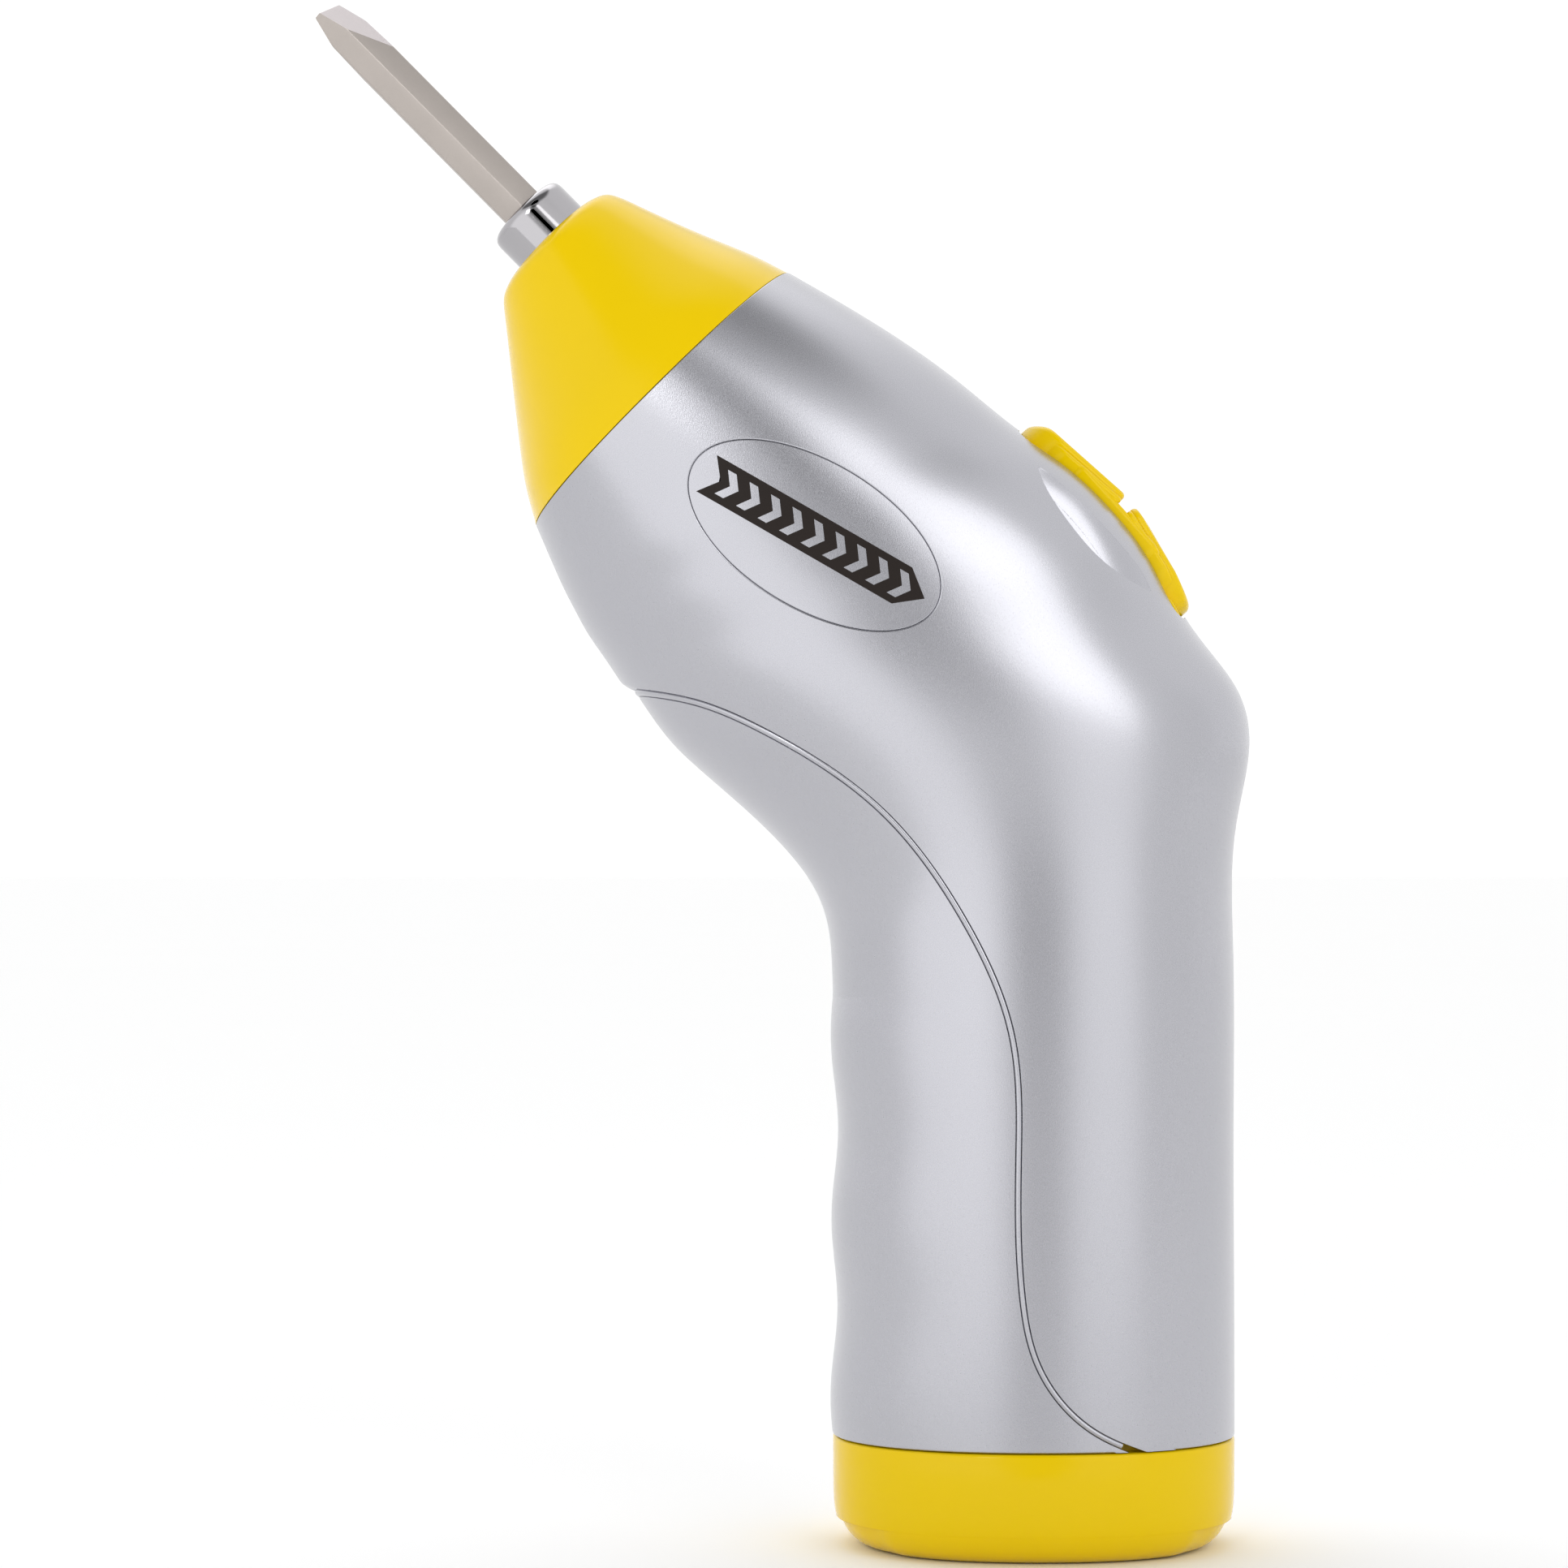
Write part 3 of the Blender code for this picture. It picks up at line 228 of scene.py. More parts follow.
class Patch:
    """A fine grid of points with its normals, to find a normal on."""

    def __init__(self, grid, normals, closed=False):
        rows, sides = grid.shape[:2]
        self.grid, self.points = grid, grid.reshape(-1, 3)
        self.normals = normals.reshape(-1, 3)
        self.quads = np.array(grid_faces(rows, sides, wrap=closed))
        self.tree = BVHTree.FromPolygons(self.points.tolist(), self.quads.tolist())

    def normal(self, index, point):
        corners = self.quads[index]
        off = self.points[corners] - np.asarray(point)
        weights = 1 / ((off**2).sum(1) + 1e-6)
        normal = (self.normals[corners] * weights[:, None]).sum(0)
        return normal / np.linalg.norm(normal)

    def near(self, point, reach):
        _, _, index, _ = self.tree.find_nearest(Vector(point), reach)
        return None if index is None else self.normal(index, point)


class Surface(Patch):
    """A skin as a fine closed grid, to find its points and normals on."""

    def __init__(self, inset, rows=440, sides=360):
        angles = np.arange(sides) * 2 * math.pi / sides
        grid = skin_grid_inset(np.linspace(0, 1, rows), angles, inset)
        around = np.roll(grid, -1, axis=1) - np.roll(grid, 1, axis=1)
        normals = np.cross(around, np.gradient(grid, axis=0))
        super().__init__(grid, normals / np.linalg.norm(normals, axis=-1, keepdims=True), True)

    def from_side(self, x, z):
        """The point at (x, z) on the +y side, and the normal there."""
        point, _, index, _ = self.tree.ray_cast(Vector((x, 60, z)), Vector((0, -1, 0)))
        if point is None:
            point, _, index, _ = self.tree.find_nearest(Vector((x, 0.01, z)))
        return np.array(point), self.normal(index, point)


def skin_grid_inset(rows, angles, inset):
    """The skin with an inset that depends on height."""
    flush = skin_grid(rows, angles)
    deep = skin_grid(rows, angles, 1.0)
    return flush + (deep - flush) * inset(flush[..., 2])[..., None]


# ---- meshes ----
def new_object(name, data):
    obj = bpy.data.objects.new(name, data)
    bpy.context.scene.collection.objects.link(obj)
    return obj


def mesh_object(name, points, faces, matrix=None, outward=True):
    """An object from points in millimetres, its faces turned outward."""
    points = np.asarray(points, float)
    if matrix is not None:
        turn = np.array(matrix)
        points = points @ turn[:3, :3].T + turn[:3, 3]
    mesh = bpy.data.meshes.new(name)
    mesh.from_pydata((points * MM).tolist(), [], [tuple(int(i) for i in f) for f in faces])
    if outward:
        made = bmesh.new()
        made.from_mesh(mesh)
        bmesh.ops.remove_doubles(made, verts=made.verts, dist=1e-8)
        bmesh.ops.dissolve_degenerate(made, edges=made.edges, dist=1e-8)
        bmesh.ops.recalc_face_normals(made, faces=made.faces)
        made.to_mesh(mesh)
        made.free()
    return new_object(name, mesh)


def grid_faces(rows, columns, wrap=False, first=0):
    """Quads between rows of equal length, numbered row by row from first."""
    count = columns if wrap else columns - 1
    return [
        (
            first + r * columns + c,
            first + r * columns + (c + 1) % columns,
            first + (r + 1) * columns + (c + 1) % columns,
            first + (r + 1) * columns + c,
        )
        for r in range(rows - 1)
        for c in range(count)
    ]


def loft(name, loops, matrix=None, ring=False):
    """A solid through closed loops of equal length, with flat ends or closed to a ring."""
    count, total = len(loops[0]), len(loops) * len(loops[0])
    faces = grid_faces(len(loops) + ring, count, wrap=True)
    if ring:
        faces = [tuple(i % total for i in face) for face in faces]
    else:
        faces += [tuple(range(count)), tuple(range(total - count, total))]
    return mesh_object(name, np.concatenate(loops), faces, matrix)


def circle(radius, sides, centre=(0.0, 0.0), power=2.0):
    cx, cy = superellipse(np.arange(sides) * 2 * math.pi / sides, power)
    return np.stack([centre[0] + radius * cx, centre[1] + radius * cy], axis=-1)


def at_height(outline, z):
    outline = np.asarray(outline, float)
    return np.column_stack([outline, np.full(len(outline), z)])


def turned(name, profile, matrix=None, sides=64):
    """A profile of (radius, height) turned about z."""
    return loft(name, [at_height(circle(max(r, 0.001), sides), z) for r, z in profile], matrix)


def prism(name, outline, low, high, matrix=None):
    return loft(name, [at_height(outline, low), at_height(outline, high)], matrix)


def rod(name, start, end, radius, matrix=None, sides=32):
    start, end = Vector(start), Vector(end)
    turn = (end - start).to_track_quat("Z", "Y").to_matrix().to_4x4()
    place = Matrix.Translation(start) @ turn
    if matrix is not None:
        place = matrix @ place
    return prism(name, circle(radius, sides), 0, (end - start).length, place)


def combine(obj, *steps):
    """Applies Booleans in turn, as pairs of operation and other object, and drops the others."""
    for operation, other in steps:
        change = obj.modifiers.new(operation, "BOOLEAN")
        change.operation = operation
        change.object = other
        change.solver = "EXACT"
    bpy.context.view_layer.update()
    graph = bpy.context.evaluated_depsgraph_get()
    mesh = bpy.data.meshes.new_from_object(obj.evaluated_get(graph))
    obj.modifiers.clear()
    obj.data = mesh
    for _, other in steps:
        bpy.data.objects.remove(other)
    return obj


def round_edges(obj, width, segments, angle):
    bevel = obj.modifiers.new("Round", "BEVEL")
    bevel.width = width * MM
    bevel.segments = segments
    bevel.limit_method = "ANGLE"
    bevel.angle_limit = math.radians(angle)
    return combine(obj)


def join(obj, *others):
    """Adds other objects' meshes to one object."""
    made = bmesh.new()
    for each in (obj, *others):
        made.from_mesh(each.data)
    made.to_mesh(obj.data)
    made.free()
    for each in others:
        bpy.data.objects.remove(each)
    return obj


def smooth_shade(obj, angle=35):
    obj.data.shade_smooth()
    obj.data.set_sharp_from_angle(angle=math.radians(angle))
    return obj


def read(items, field, width=1, kind=float):
    values = np.empty(len(items) * width, kind)
    items.foreach_get(field, values)
    return values


def skin_shade(obj, *surfaces, reach=0.03, spread=25):
    """Smooth shading with the surfaces' true normals, wherever a face lies on one of them."""
    mesh = smooth_shade(obj).data
    normals = np.zeros((len(surfaces), len(mesh.vertices), 3))
    for i, place in enumerate(read(mesh.vertices, "co", 3).reshape(-1, 3) / MM):
        for k, surface in enumerate(surfaces):
            found = surface.near(place, reach)
            if found is not None:
                normals[k, i] = found
    facing = read(mesh.polygons, "normal", 3).reshape(-1, 3)
    facing = np.repeat(facing, read(mesh.polygons, "loop_total", kind=int), axis=0)
    wanted = normals[:, read(mesh.loops, "vertex_index", kind=int)]
    along = (wanted * facing).sum(-1)
    wanted = wanted[along.argmax(0), np.arange(len(facing))]
    wanted[along.max(0) < math.cos(math.radians(spread))] = 0
    mesh.normals_split_custom_set(wanted.tolist())
    return obj


def dress(obj, body, slot, *nodes):
    """Gives a piece its body and, if it has no material yet, the finish named by slot; hides the
    CAD nodes it stands for.
    """
    if not obj.data.materials:
        obj.data.materials.append(LOOKS[slot])
    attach(obj, body)
    if nodes:
        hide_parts(*nodes)
    return obj


# ---- finishes ----
def finish(
    name,
    colour,
    roughness,
    metallic,
    tone=0.04,
    tone_size=14.0,
    grain=0.2,
    grain_size=0.25,
    spread=0.04,
    stretch=(1, 1, 1),
    coat=0.0,
    coat_roughness=0.08,
    ior=1.5,
):
    """A finish whose tone, gloss and surface vary a little from place to place.

    tone and tone_size give the slow change of colour, grain and grain_size the fine bumps,
    spread the change of gloss, stretch the grain's direction, coat a clear lacquer.
    """
    made = bpy.data.materials.new(name)
    made.use_nodes = True
    nodes, links = made.node_tree.nodes, made.node_tree.links
    shader = nodes["Principled BSDF"]
    shader.inputs["Metallic"].default_value = metallic
    shader.inputs["Coat Weight"].default_value = coat
    shader.inputs["Coat Roughness"].default_value = coat_roughness
    shader.inputs["IOR"].default_value = ior
    places = nodes.new("ShaderNodeTexCoord")
    stretched = nodes.new("ShaderNodeMapping")
    stretched.inputs["Scale"].default_value = stretch
    links.new(places.outputs["Object"], stretched.inputs["Vector"])

    def noise(size, detail, source):
        texture = nodes.new("ShaderNodeTexNoise")
        texture.inputs["Scale"].default_value = 1 / (size * MM)
        texture.inputs["Detail"].default_value = detail
        links.new(source, texture.inputs["Vector"])
        return texture.outputs["Fac"]

    slow = noise(tone_size, 3, places.outputs["Object"])
    fine = noise(grain_size, 4, stretched.outputs["Vector"])
    mix = nodes.new("ShaderNodeMix")
    mix.data_type = "RGBA"
    mix.inputs["A"].default_value = (*[c * (1 - tone) for c in colour], 1)
    mix.inputs["B"].default_value = (*[min(1, c * (1 + tone)) for c in colour], 1)
    links.new(slow, mix.inputs["Factor"])
    links.new(mix.outputs["Result"], shader.inputs["Base Color"])
    gloss = nodes.new("ShaderNodeMapRange")
    gloss.inputs["To Min"].default_value = roughness - spread
    gloss.inputs["To Max"].default_value = roughness + spread
    links.new(fine, gloss.inputs["Value"])
    links.new(gloss.outputs["Result"], shader.inputs["Roughness"])
    bump = nodes.new("ShaderNodeBump")
    bump.inputs["Strength"].default_value = grain
    bump.inputs["Distance"].default_value = 0.02 * MM
    links.new(fine, bump.inputs["Height"])
    links.new(bump.outputs["Normal"], shader.inputs["Normal"])
    return made


FINE = {"grain_size": 0.12}
# Each finish: colour, roughness, share of metal, and what differs from a plain one.
FINISHES = {
    "silver_paint": (
        (0.465, 0.465, 0.5),
        0.26,
        0.92,
        {
            "tone": 0.015,
            "grain": 0.22,
            "grain_size": 0.1,
            "spread": 0.05,
            "coat": 0.12,
            "coat_roughness": 0.22,
            "stretch": (1, 1, 0.35),
        },
    ),
    "yellow_plastic": (
        (0.79, 0.545, 0.001),
        0.14,
        0.0,
        {"tone": 0.02, "grain": 0.06, "grain_size": 0.8, "spread": 0.03, "ior": 1.26},
    ),
    "chrome_steel": (
        (0.42, 0.41, 0.425),
        0.09,
        1.0,
        {"tone": 0.02, "grain": 0.05, "spread": 0.02},
    ),
    "bit_nickel": (
        (0.44, 0.4, 0.372),
        0.4,
        1.0,
        {"tone": 0.05, "tone_size": 6.0, "grain": 0.5, "grain_size": 0.09, "spread": 0.06},
    ),
    "ground_steel": (
        (0.42, 0.385, 0.39),
        0.36,
        1.0,
        {"grain": 0.6, "stretch": (1, 6, 1), **FINE},
    ),
    "steel": ((0.55, 0.55, 0.57), 0.3, 1.0, {"grain": 0.3, **FINE}),
    "dark_iron": ((0.12, 0.12, 0.13), 0.5, 0.8, {"grain": 0.5, **FINE}),
    "ferrite": ((0.05, 0.05, 0.055), 0.65, 0.1, {"grain": 0.8, **FINE}),
    "bronze": ((0.48, 0.29, 0.12), 0.42, 1.0, {"tone": 0.1, "grain": 0.5, **FINE}),
    "copper": ((0.72, 0.30, 0.15), 0.32, 1.0, {"tone": 0.08, **FINE}),
    "white_plastic": ((0.78, 0.77, 0.72), 0.42, 0.0, FINE),
    "black_plastic": ((0.025, 0.025, 0.028), 0.42, 0.0, FINE),
    "cell_jacket": ((0.03, 0.10, 0.32), 0.3, 0.3, {"coat": 0.5, **FINE}),
    "cell_band": ((0.62, 0.42, 0.12), 0.28, 0.9, {"coat": 0.5, **FINE}),
    "red_wire": ((0.50, 0.02, 0.015), 0.42, 0.0, FINE),
    "black_wire": ((0.02, 0.02, 0.02), 0.42, 0.0, FINE),
    "print_black": ((0.016, 0.011, 0.009), 0.4, 0.0, {"tone": 0.1, "ior": 1.25, **FINE}),
    "floor": ((0.95, 0.95, 0.95), 0.9, 0.0, {"tone": 0.005, "tone_size": 400.0, "grain": 0.02}),
}


# ---- shells and their seam ----
def slab(name, outer, inner):
    """A closed wall between two open grids of points."""
    rows, columns = outer.shape[:2]
    count = rows * columns
    faces = grid_faces(rows, columns) + grid_faces(rows, columns, first=count)
    around = [(0, c) for c in range(columns)]
    around += [(r, columns - 1) for r in range(1, rows)]
    around += [(rows - 1, c) for c in range(columns - 2, -1, -1)]
    around += [(r, 0) for r in range(rows - 2, -1, -1)]
    ring = [r * columns + c for r, c in around]
    faces += [(a, b, b + count, a + count) for a, b in zip(ring, ring[1:])]
    points = np.concatenate([outer.reshape(-1, 3), inner.reshape(-1, 3)])
    return mesh_object(name, points, faces)


def rounded_rows(count):
    """Rows up the skin, and the insets that round the wall's edge at foot and nose."""
    foot = [(0.0, 0.3), (0.06, 0.14), (0.16, 0.04), (0.3, 0.0), (0.6, 0.0)]
    front = [(0.6, 0.0), (0.2, 0.0), (0.12, 0.01), (0.05, 0.04), (0.02, 0.12)]
    low = np.array([d for d, _ in foot]) / SKIN_LENGTH
    high = 1 - np.array([d for d, _ in front]) / SKIN_LENGTH
    rows = np.concatenate([low, np.linspace(low[-1], high[0], count)[1:-1], high])
    insets = np.zeros(len(rows))
    insets[: len(foot)] = [i for _, i in foot]
    insets[-len(front) :] = [i for _, i in front]
    return rows, insets


def shell_wall(name, side):
    """The outer layer of one half shell, its edges rounded where the halves meet."""
    rows, row_insets = rounded_rows(170)
    near = [0.0, 0.0026, 0.0072, 0.03]
    angles = np.concatenate(
        [near, np.linspace(0.06, math.pi - 0.06, 112), math.pi - np.array(near[::-1])]
    )
    angle_insets = np.zeros(len(angles))
    angle_insets[:2] = angle_insets[-1:-3:-1] = 0.16, 0.04
    outer = skin_grid(rows, angles, row_insets[:, None] + angle_insets)
    inner = skin_grid(rows, angles, SKIN_WALL)
    for grid in (outer, inner):
        grid[..., 1] = side * np.maximum(grid[..., 1], PARTING)
    return slab(name, outer, inner)


def edge_curve():
    """The grip's edge seen from the side, and its normal towards the shells."""
    steps = np.linspace(0, 1, 401)
    curve = natural_spline(GRIP_EDGE)(steps)
    ahead = np.gradient(curve, axis=0)
    ahead /= np.linalg.norm(ahead, axis=1, keepdims=True)
    return curve, np.stack([-ahead[:, 1], ahead[:, 0]], axis=1)


EDGE, EDGE_NORMAL = edge_curve()


def edge_distance(points):
    """Signed distance of points (x, z) from the grip's edge, positive on the shells' side."""
    start, along = EDGE[:-1], np.diff(EDGE, axis=0)
    off = points[:, None] - start
    t = np.clip((off * along).sum(-1) / (along**2).sum(-1), 0, 1)
    gap = off - t[..., None] * along
    length = np.hypot(gap[..., 0], gap[..., 1])
    nearest = length.argmin(1)
    rows = np.arange(len(points))
    cross = along[nearest, 0] * off[rows, nearest, 1] - along[nearest, 1] * off[rows, nearest, 0]
    return length[rows, nearest] * np.sign(cross)


def at_index(points, index):
    """Points between the points of a list, at fractional indices."""
    count = np.arange(len(points))
    return np.stack([np.interp(index, count, column) for column in np.transpose(points)], axis=1)


class SeamLines:
    """Lines on a surface beside the grip's edge, from the front's middle down to the foot."""

    SPACING = 0.14
    REACH = 1.4
    FRONT = 48  # steps round the front
    TURN = 2.15  # the angle where the front's steps end

    def __init__(self, surface, inset):
        distances = np.arange(-self.REACH, self.REACH + 0.01, self.SPACING)
        rows = np.linspace(0.42, 0.8, 300)
        angles = np.linspace(math.pi, self.TURN, self.FRONT)
        grid = skin_grid_inset(rows, angles, inset)
        away = np.stack([edge_distance(line[:, ::2]) for line in np.swapaxes(grid, 0, 1)], axis=1)
        columns = range(self.FRONT)
        front = [[crossing(grid[:, i], away[:, i], g) for i in columns] for g in distances]
        last = [np.hypot(*(EDGE - line[-1][::2]).T).argmin() for line in front]
        below = range(max(last) + 2, len(EDGE), 2)
        steps = [np.concatenate([np.linspace(i, below[0], 8)[1:-1], below]) for i in last]
        middle = len(front) // 2
        flat = [line[::2] for line in front[middle]]
        self.edge = np.concatenate([flat, at_index(EDGE, steps[middle])])
        self.points, self.normals = [], []
        for line, g, step in zip(front, distances, steps):
            places = at_index(EDGE, step) + g * at_index(EDGE_NORMAL, step)
            low = places[:, 1] < FOOT
            if low.any():
                places[low] = crossing(places, -places[:, 1], -FOOT)
            found = [(p, surface.near(p, 1.0)) for p in line]
            found += [surface.from_side(x, z) for x, z in places]
            self.points.append([p for p, _ in found])
            self.normals.append([n for _, n in found])
        self.points, self.normals = np.array(self.points), np.array(self.normals)

    def at(self, g, lift):
        """A line at a distance from the edge, lifted off the surface; both may vary along it."""
        count = self.points.shape[1]
        g = np.broadcast_to(np.asarray(g, float), count)
        lift = np.broadcast_to(np.asarray(lift, float), count)
        place = np.clip((g + self.REACH) / self.SPACING, 0, len(self.points) - 1.001)
        low = place.astype(int)
        part = (place - low)[:, None]
        k = np.arange(count)
        point = self.points[low, k] * (1 - part) + self.points[low + 1, k] * part
        normal = self.normals[low, k] * (1 - part) + self.normals[low + 1, k] * part
        normal /= np.linalg.norm(normal, axis=1, keepdims=True)
        return point + normal * lift[:, None]


def crossing(points, away, g):
    """Where a row of points first passes a distance from the edge."""
    after = int(np.argmax(away >= g))
    part = (g - away[after - 1]) / (away[after] - away[after - 1])
    return points[after - 1] * (1 - part) + points[after] * part


def strip(name, lines):
    """A solid bar with these lines along it, as loops across it."""
    return loft(name, list(np.stack(lines, axis=1)))


def both_sides(line):
    """A line's mirror image from foot to front, then the line itself."""
    return np.concatenate([line[:0:-1] * (1, -1, 1), line])


def shell_lip(seam, side):
    """The shell's rounded edge beside the grip, with a fuller lip under the head."""
    middle = np.abs(seam.at(0.0, 0.0)[:, 1])
    radius = 0.07 + 0.78 * (1 - smooth(middle / 9.0))
    turn = [math.radians(a) for a in (0, 15, 30, 50, 70, 90)]
    profile = [(radius * (1 - math.cos(a)), -radius * (1 - math.sin(a))) for a in turn]
    profile += [(LIP_REACH, 0.0), (LIP_REACH + 0.15, -0.03), (LIP_REACH + 0.15, -1.3), (0.0, -1.3)]
    lines = [seam.at(g, lift) for g, lift in profile]
    for line in lines:
        line[:, 1] = side * np.maximum(line[:, 1], PARTING)
    return strip("shell_lip", lines)


def grip_lips(seam):
    """The grip's bead along the seam, and the rounded edge of its surface behind the bead."""
    bead = [(-0.04, -1.9), (-0.04, -0.12), (-0.08, -0.02), (-0.18, 0.06), (-0.3, 0.1)]
    bead += [(-0.4, 0.1), (-0.52, 0.06), (-0.62, -0.02), (-0.66, -0.12), (-0.66, -1.9)]
    surface = [(-0.7, -1.9), (-0.7, -0.14), (-0.715, -0.07), (-0.75, -0.02), (-0.82, 0.0)]
    surface += [(-LIP_REACH, 0.0), (-LIP_REACH - 0.15, -0.03), (-LIP_REACH - 0.15, -1.9)]
    stop = int(np.argmax(seam.edge[:, 0] > 9.4))
    made = strip("bead", [both_sides(seam.at(g, lift)[:stop]) for g, lift in bead])
    return join(made, strip("surface_lip", [both_sides(seam.at(g, d)) for g, d in surface]))


def grip_region(growth):
    """The grip's region seen from the side, right through in y."""
    outline = EDGE + growth * EDGE_NORMAL
    outline = np.concatenate([outline, [(20.0, 2.0), (-40.0, 2.0), (-62.0, 60.0)]])
    return prism("grip_region", outline, -30, 30, SIDEWAYS)


def oval(growth, count=120):
    angles = np.arange(count) * 2 * math.pi / count
    c, s = math.cos(BADGE_TILT), math.sin(BADGE_TILT)
    a, b = np.cos(angles) * (BADGE_HALF[0] + growth), np.sin(angles) * (BADGE_HALF[1] + growth)
    return np.stack([BADGE_CENTRE[0] + a * c - b * s, BADGE_CENTRE[1] + a * s + b * c], axis=1)


def on_side(surface, outline, lift, side):
    """An outline (x, z) laid on the skin on one side, lifted off it."""
    found = [surface.from_side(x, z) for x, z in outline]
    return np.array([p + n * lift for p, n in found]) * (1, side, 1)


def badge_rim(surface, side):
    profile = [(0.7, -1.3), (0.7, -0.03), (0.55, 0.0), (0.24, 0.0), (0.17, -0.01), (0.1, -0.045)]
    profile += [(0.045, -0.09), (0.03, -0.13), (0.03, -1.3)]
    return loft("badge_rim", [on_side(surface, oval(g), d, side) for g, d in profile], ring=True)


def scoop_floor(surface, side):
    """The floor of the hollow beside the rocker: deepest at its outer edge, running out inward."""
    outline = natural_spline(SCOOP)
    shares = (1 - np.cos(np.linspace(0, math.pi, SCOOP_COLUMNS))) / 2
    floor = []
    for step in np.linspace(0.004, 0.996, SCOOP_ROWS):
        s, left, right = outline(step)[0]
        depth = SCOOP_DEPTH * math.sin(math.pi * step**0.8) ** 0.9
        for share in shares:
            w = left + (right - left) * share
            x = ROCKER_CENTRE[0] + ROCKER_DOWN[0] * s - ROCKER_DOWN[1] * w
            z = ROCKER_CENTRE[1] + ROCKER_DOWN[1] * s + ROCKER_DOWN[0] * w
            point, _ = surface.from_side(x, z)
            floor.append(point - (0, depth * (1 - share) ** 0.95 + 0.01, 0))
    floor = np.array(floor).reshape(-1, SCOOP_COLUMNS, 3) * (1, side, 1)
    normals = np.cross(np.gradient(floor, axis=0), np.gradient(floor, axis=1))
    normals *= np.sign(normals[..., 1:2]) * side
    return Patch(floor, normals / np.linalg.norm(normals, axis=-1, keepdims=True))


def scoop(floor, side):
    """A solid that cuts the hollow out."""
    loops = []
    for row in floor.grid:
        lid = [(x, side * (abs(y) + 5.5), z) for x, y, z in row]
        loops.append(np.concatenate([row, lid[::-1]]))
    return loft("scoop", loops)


def screw_recess(place):
    x, z = place
    there = Matrix.Translation((x, 0, z)) @ ALONG_Y
    return prism("screw_recess", circle(SCREW_RECESS_RADIUS, 48), 2.0, 40.0, there)


def inner_core(side):
    """Everything on one side that lies under the outer layer."""
    rows, angles = np.linspace(0, 1, 60), np.linspace(0, math.pi, 40)
    grid = skin_grid(rows, angles, SKIN_WALL - 0.05)
    grid[..., 1] = side * np.maximum(grid[..., 1], 0.0)
    return loft("inner_core", list(grid))


def cad_copy(name):
    """A copy of a CAD node's solid."""
    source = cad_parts[name]
    copy = new_object(name + "_copy", source.data.copy())
    copy.data.materials.clear()
    made = bmesh.new()
    made.from_mesh(copy.data)
    bmesh.ops.remove_doubles(made, verts=made.verts, dist=1e-7)
    made.to_mesh(copy.data)
    made.free()
    return copy


def make_shell(side, surface, seam):
    node = "body_shell_right" if side > 0 else "body_shell_left"
    wall = shell_wall(node + "_skin", side)
    cuts = [grip_region(LIP_REACH), rocker_well()]
    cuts.append(prism("badge_hole", oval(0.55), -side * 2, -side * 40, SIDEWAYS))
    floor = scoop_floor(surface, side)
    cuts.append(scoop(floor, side))
    if side > 0:
        cuts += [screw_recess(place) for place in SHELL_SCREWS]
    combine(wall, *[("DIFFERENCE", cut) for cut in cuts])
    trims = [("INTERSECT", inner_core(side)), ("DIFFERENCE", scoop(floor, side))]
    inside = combine(cad_copy(node), *trims)
    join(wall, shell_lip(seam, side), badge_rim(surface, side), inside)
    skin_shade(wall, surface, floor)
    return dress(wall, "housing", "silver_paint", node)


def make_grip(surface, seam):
    rows = np.concatenate([[0, 0.0004, 0.001, 0.0018], np.linspace(0.004, 0.72, 150)])
    angles = np.linspace(0.6, 2 * math.pi - 0.6, 200)
    foot = np.zeros(len(rows))
    foot[:3] = 0.3, 0.14, 0.04
    outer = skin_grid_inset(rows, angles, lambda z: grip_inset(z) + foot[:, None])
    grip = slab("front_grip_skin", outer, skin_grid(rows, angles, WALL))
    combine(grip, ("INTERSECT", grip_region(-LIP_REACH)))
    join(grip, grip_lips(seam))
    skin_shade(grip, surface)
    return dress(grip, "housing", "silver_paint", "front_grip")


# ---- badge ----
def make_badge(side, surface):
    name = "badge_right" if side > 0 else "badge_left"
    shares = [0.02, 0.15, 0.3, 0.45, 0.6, 0.74, 0.86, 0.95]
    centre = np.array(BADGE_CENTRE)
    top = [centre + (oval(-0.35) - centre) * share for share in shares]
    loops = [on_side(surface, outline, 0.0, side) for outline in top]
    rim = [(-0.35, 0), (-0.2, 0), (-0.12, -0.01), (-0.05, -0.06), (0, -0.13), (0, -0.6)]
    for growth, lift in rim:
        loops.append(on_side(surface, oval(growth), lift, side))
    loops += [on_side(surface, outline, -0.6, side) for outline in top[::-1]]
    badge = loft(name + "_plate", loops)
    skin_shade(badge, surface)
    dress(badge, "housing", "silver_paint", name)
    make_sign(name, side, surface)


SIGN_TILT = math.radians(-30)
SIGN_CELL = 0.9  # size of the pieces a printed shape is cut into, to follow the skin


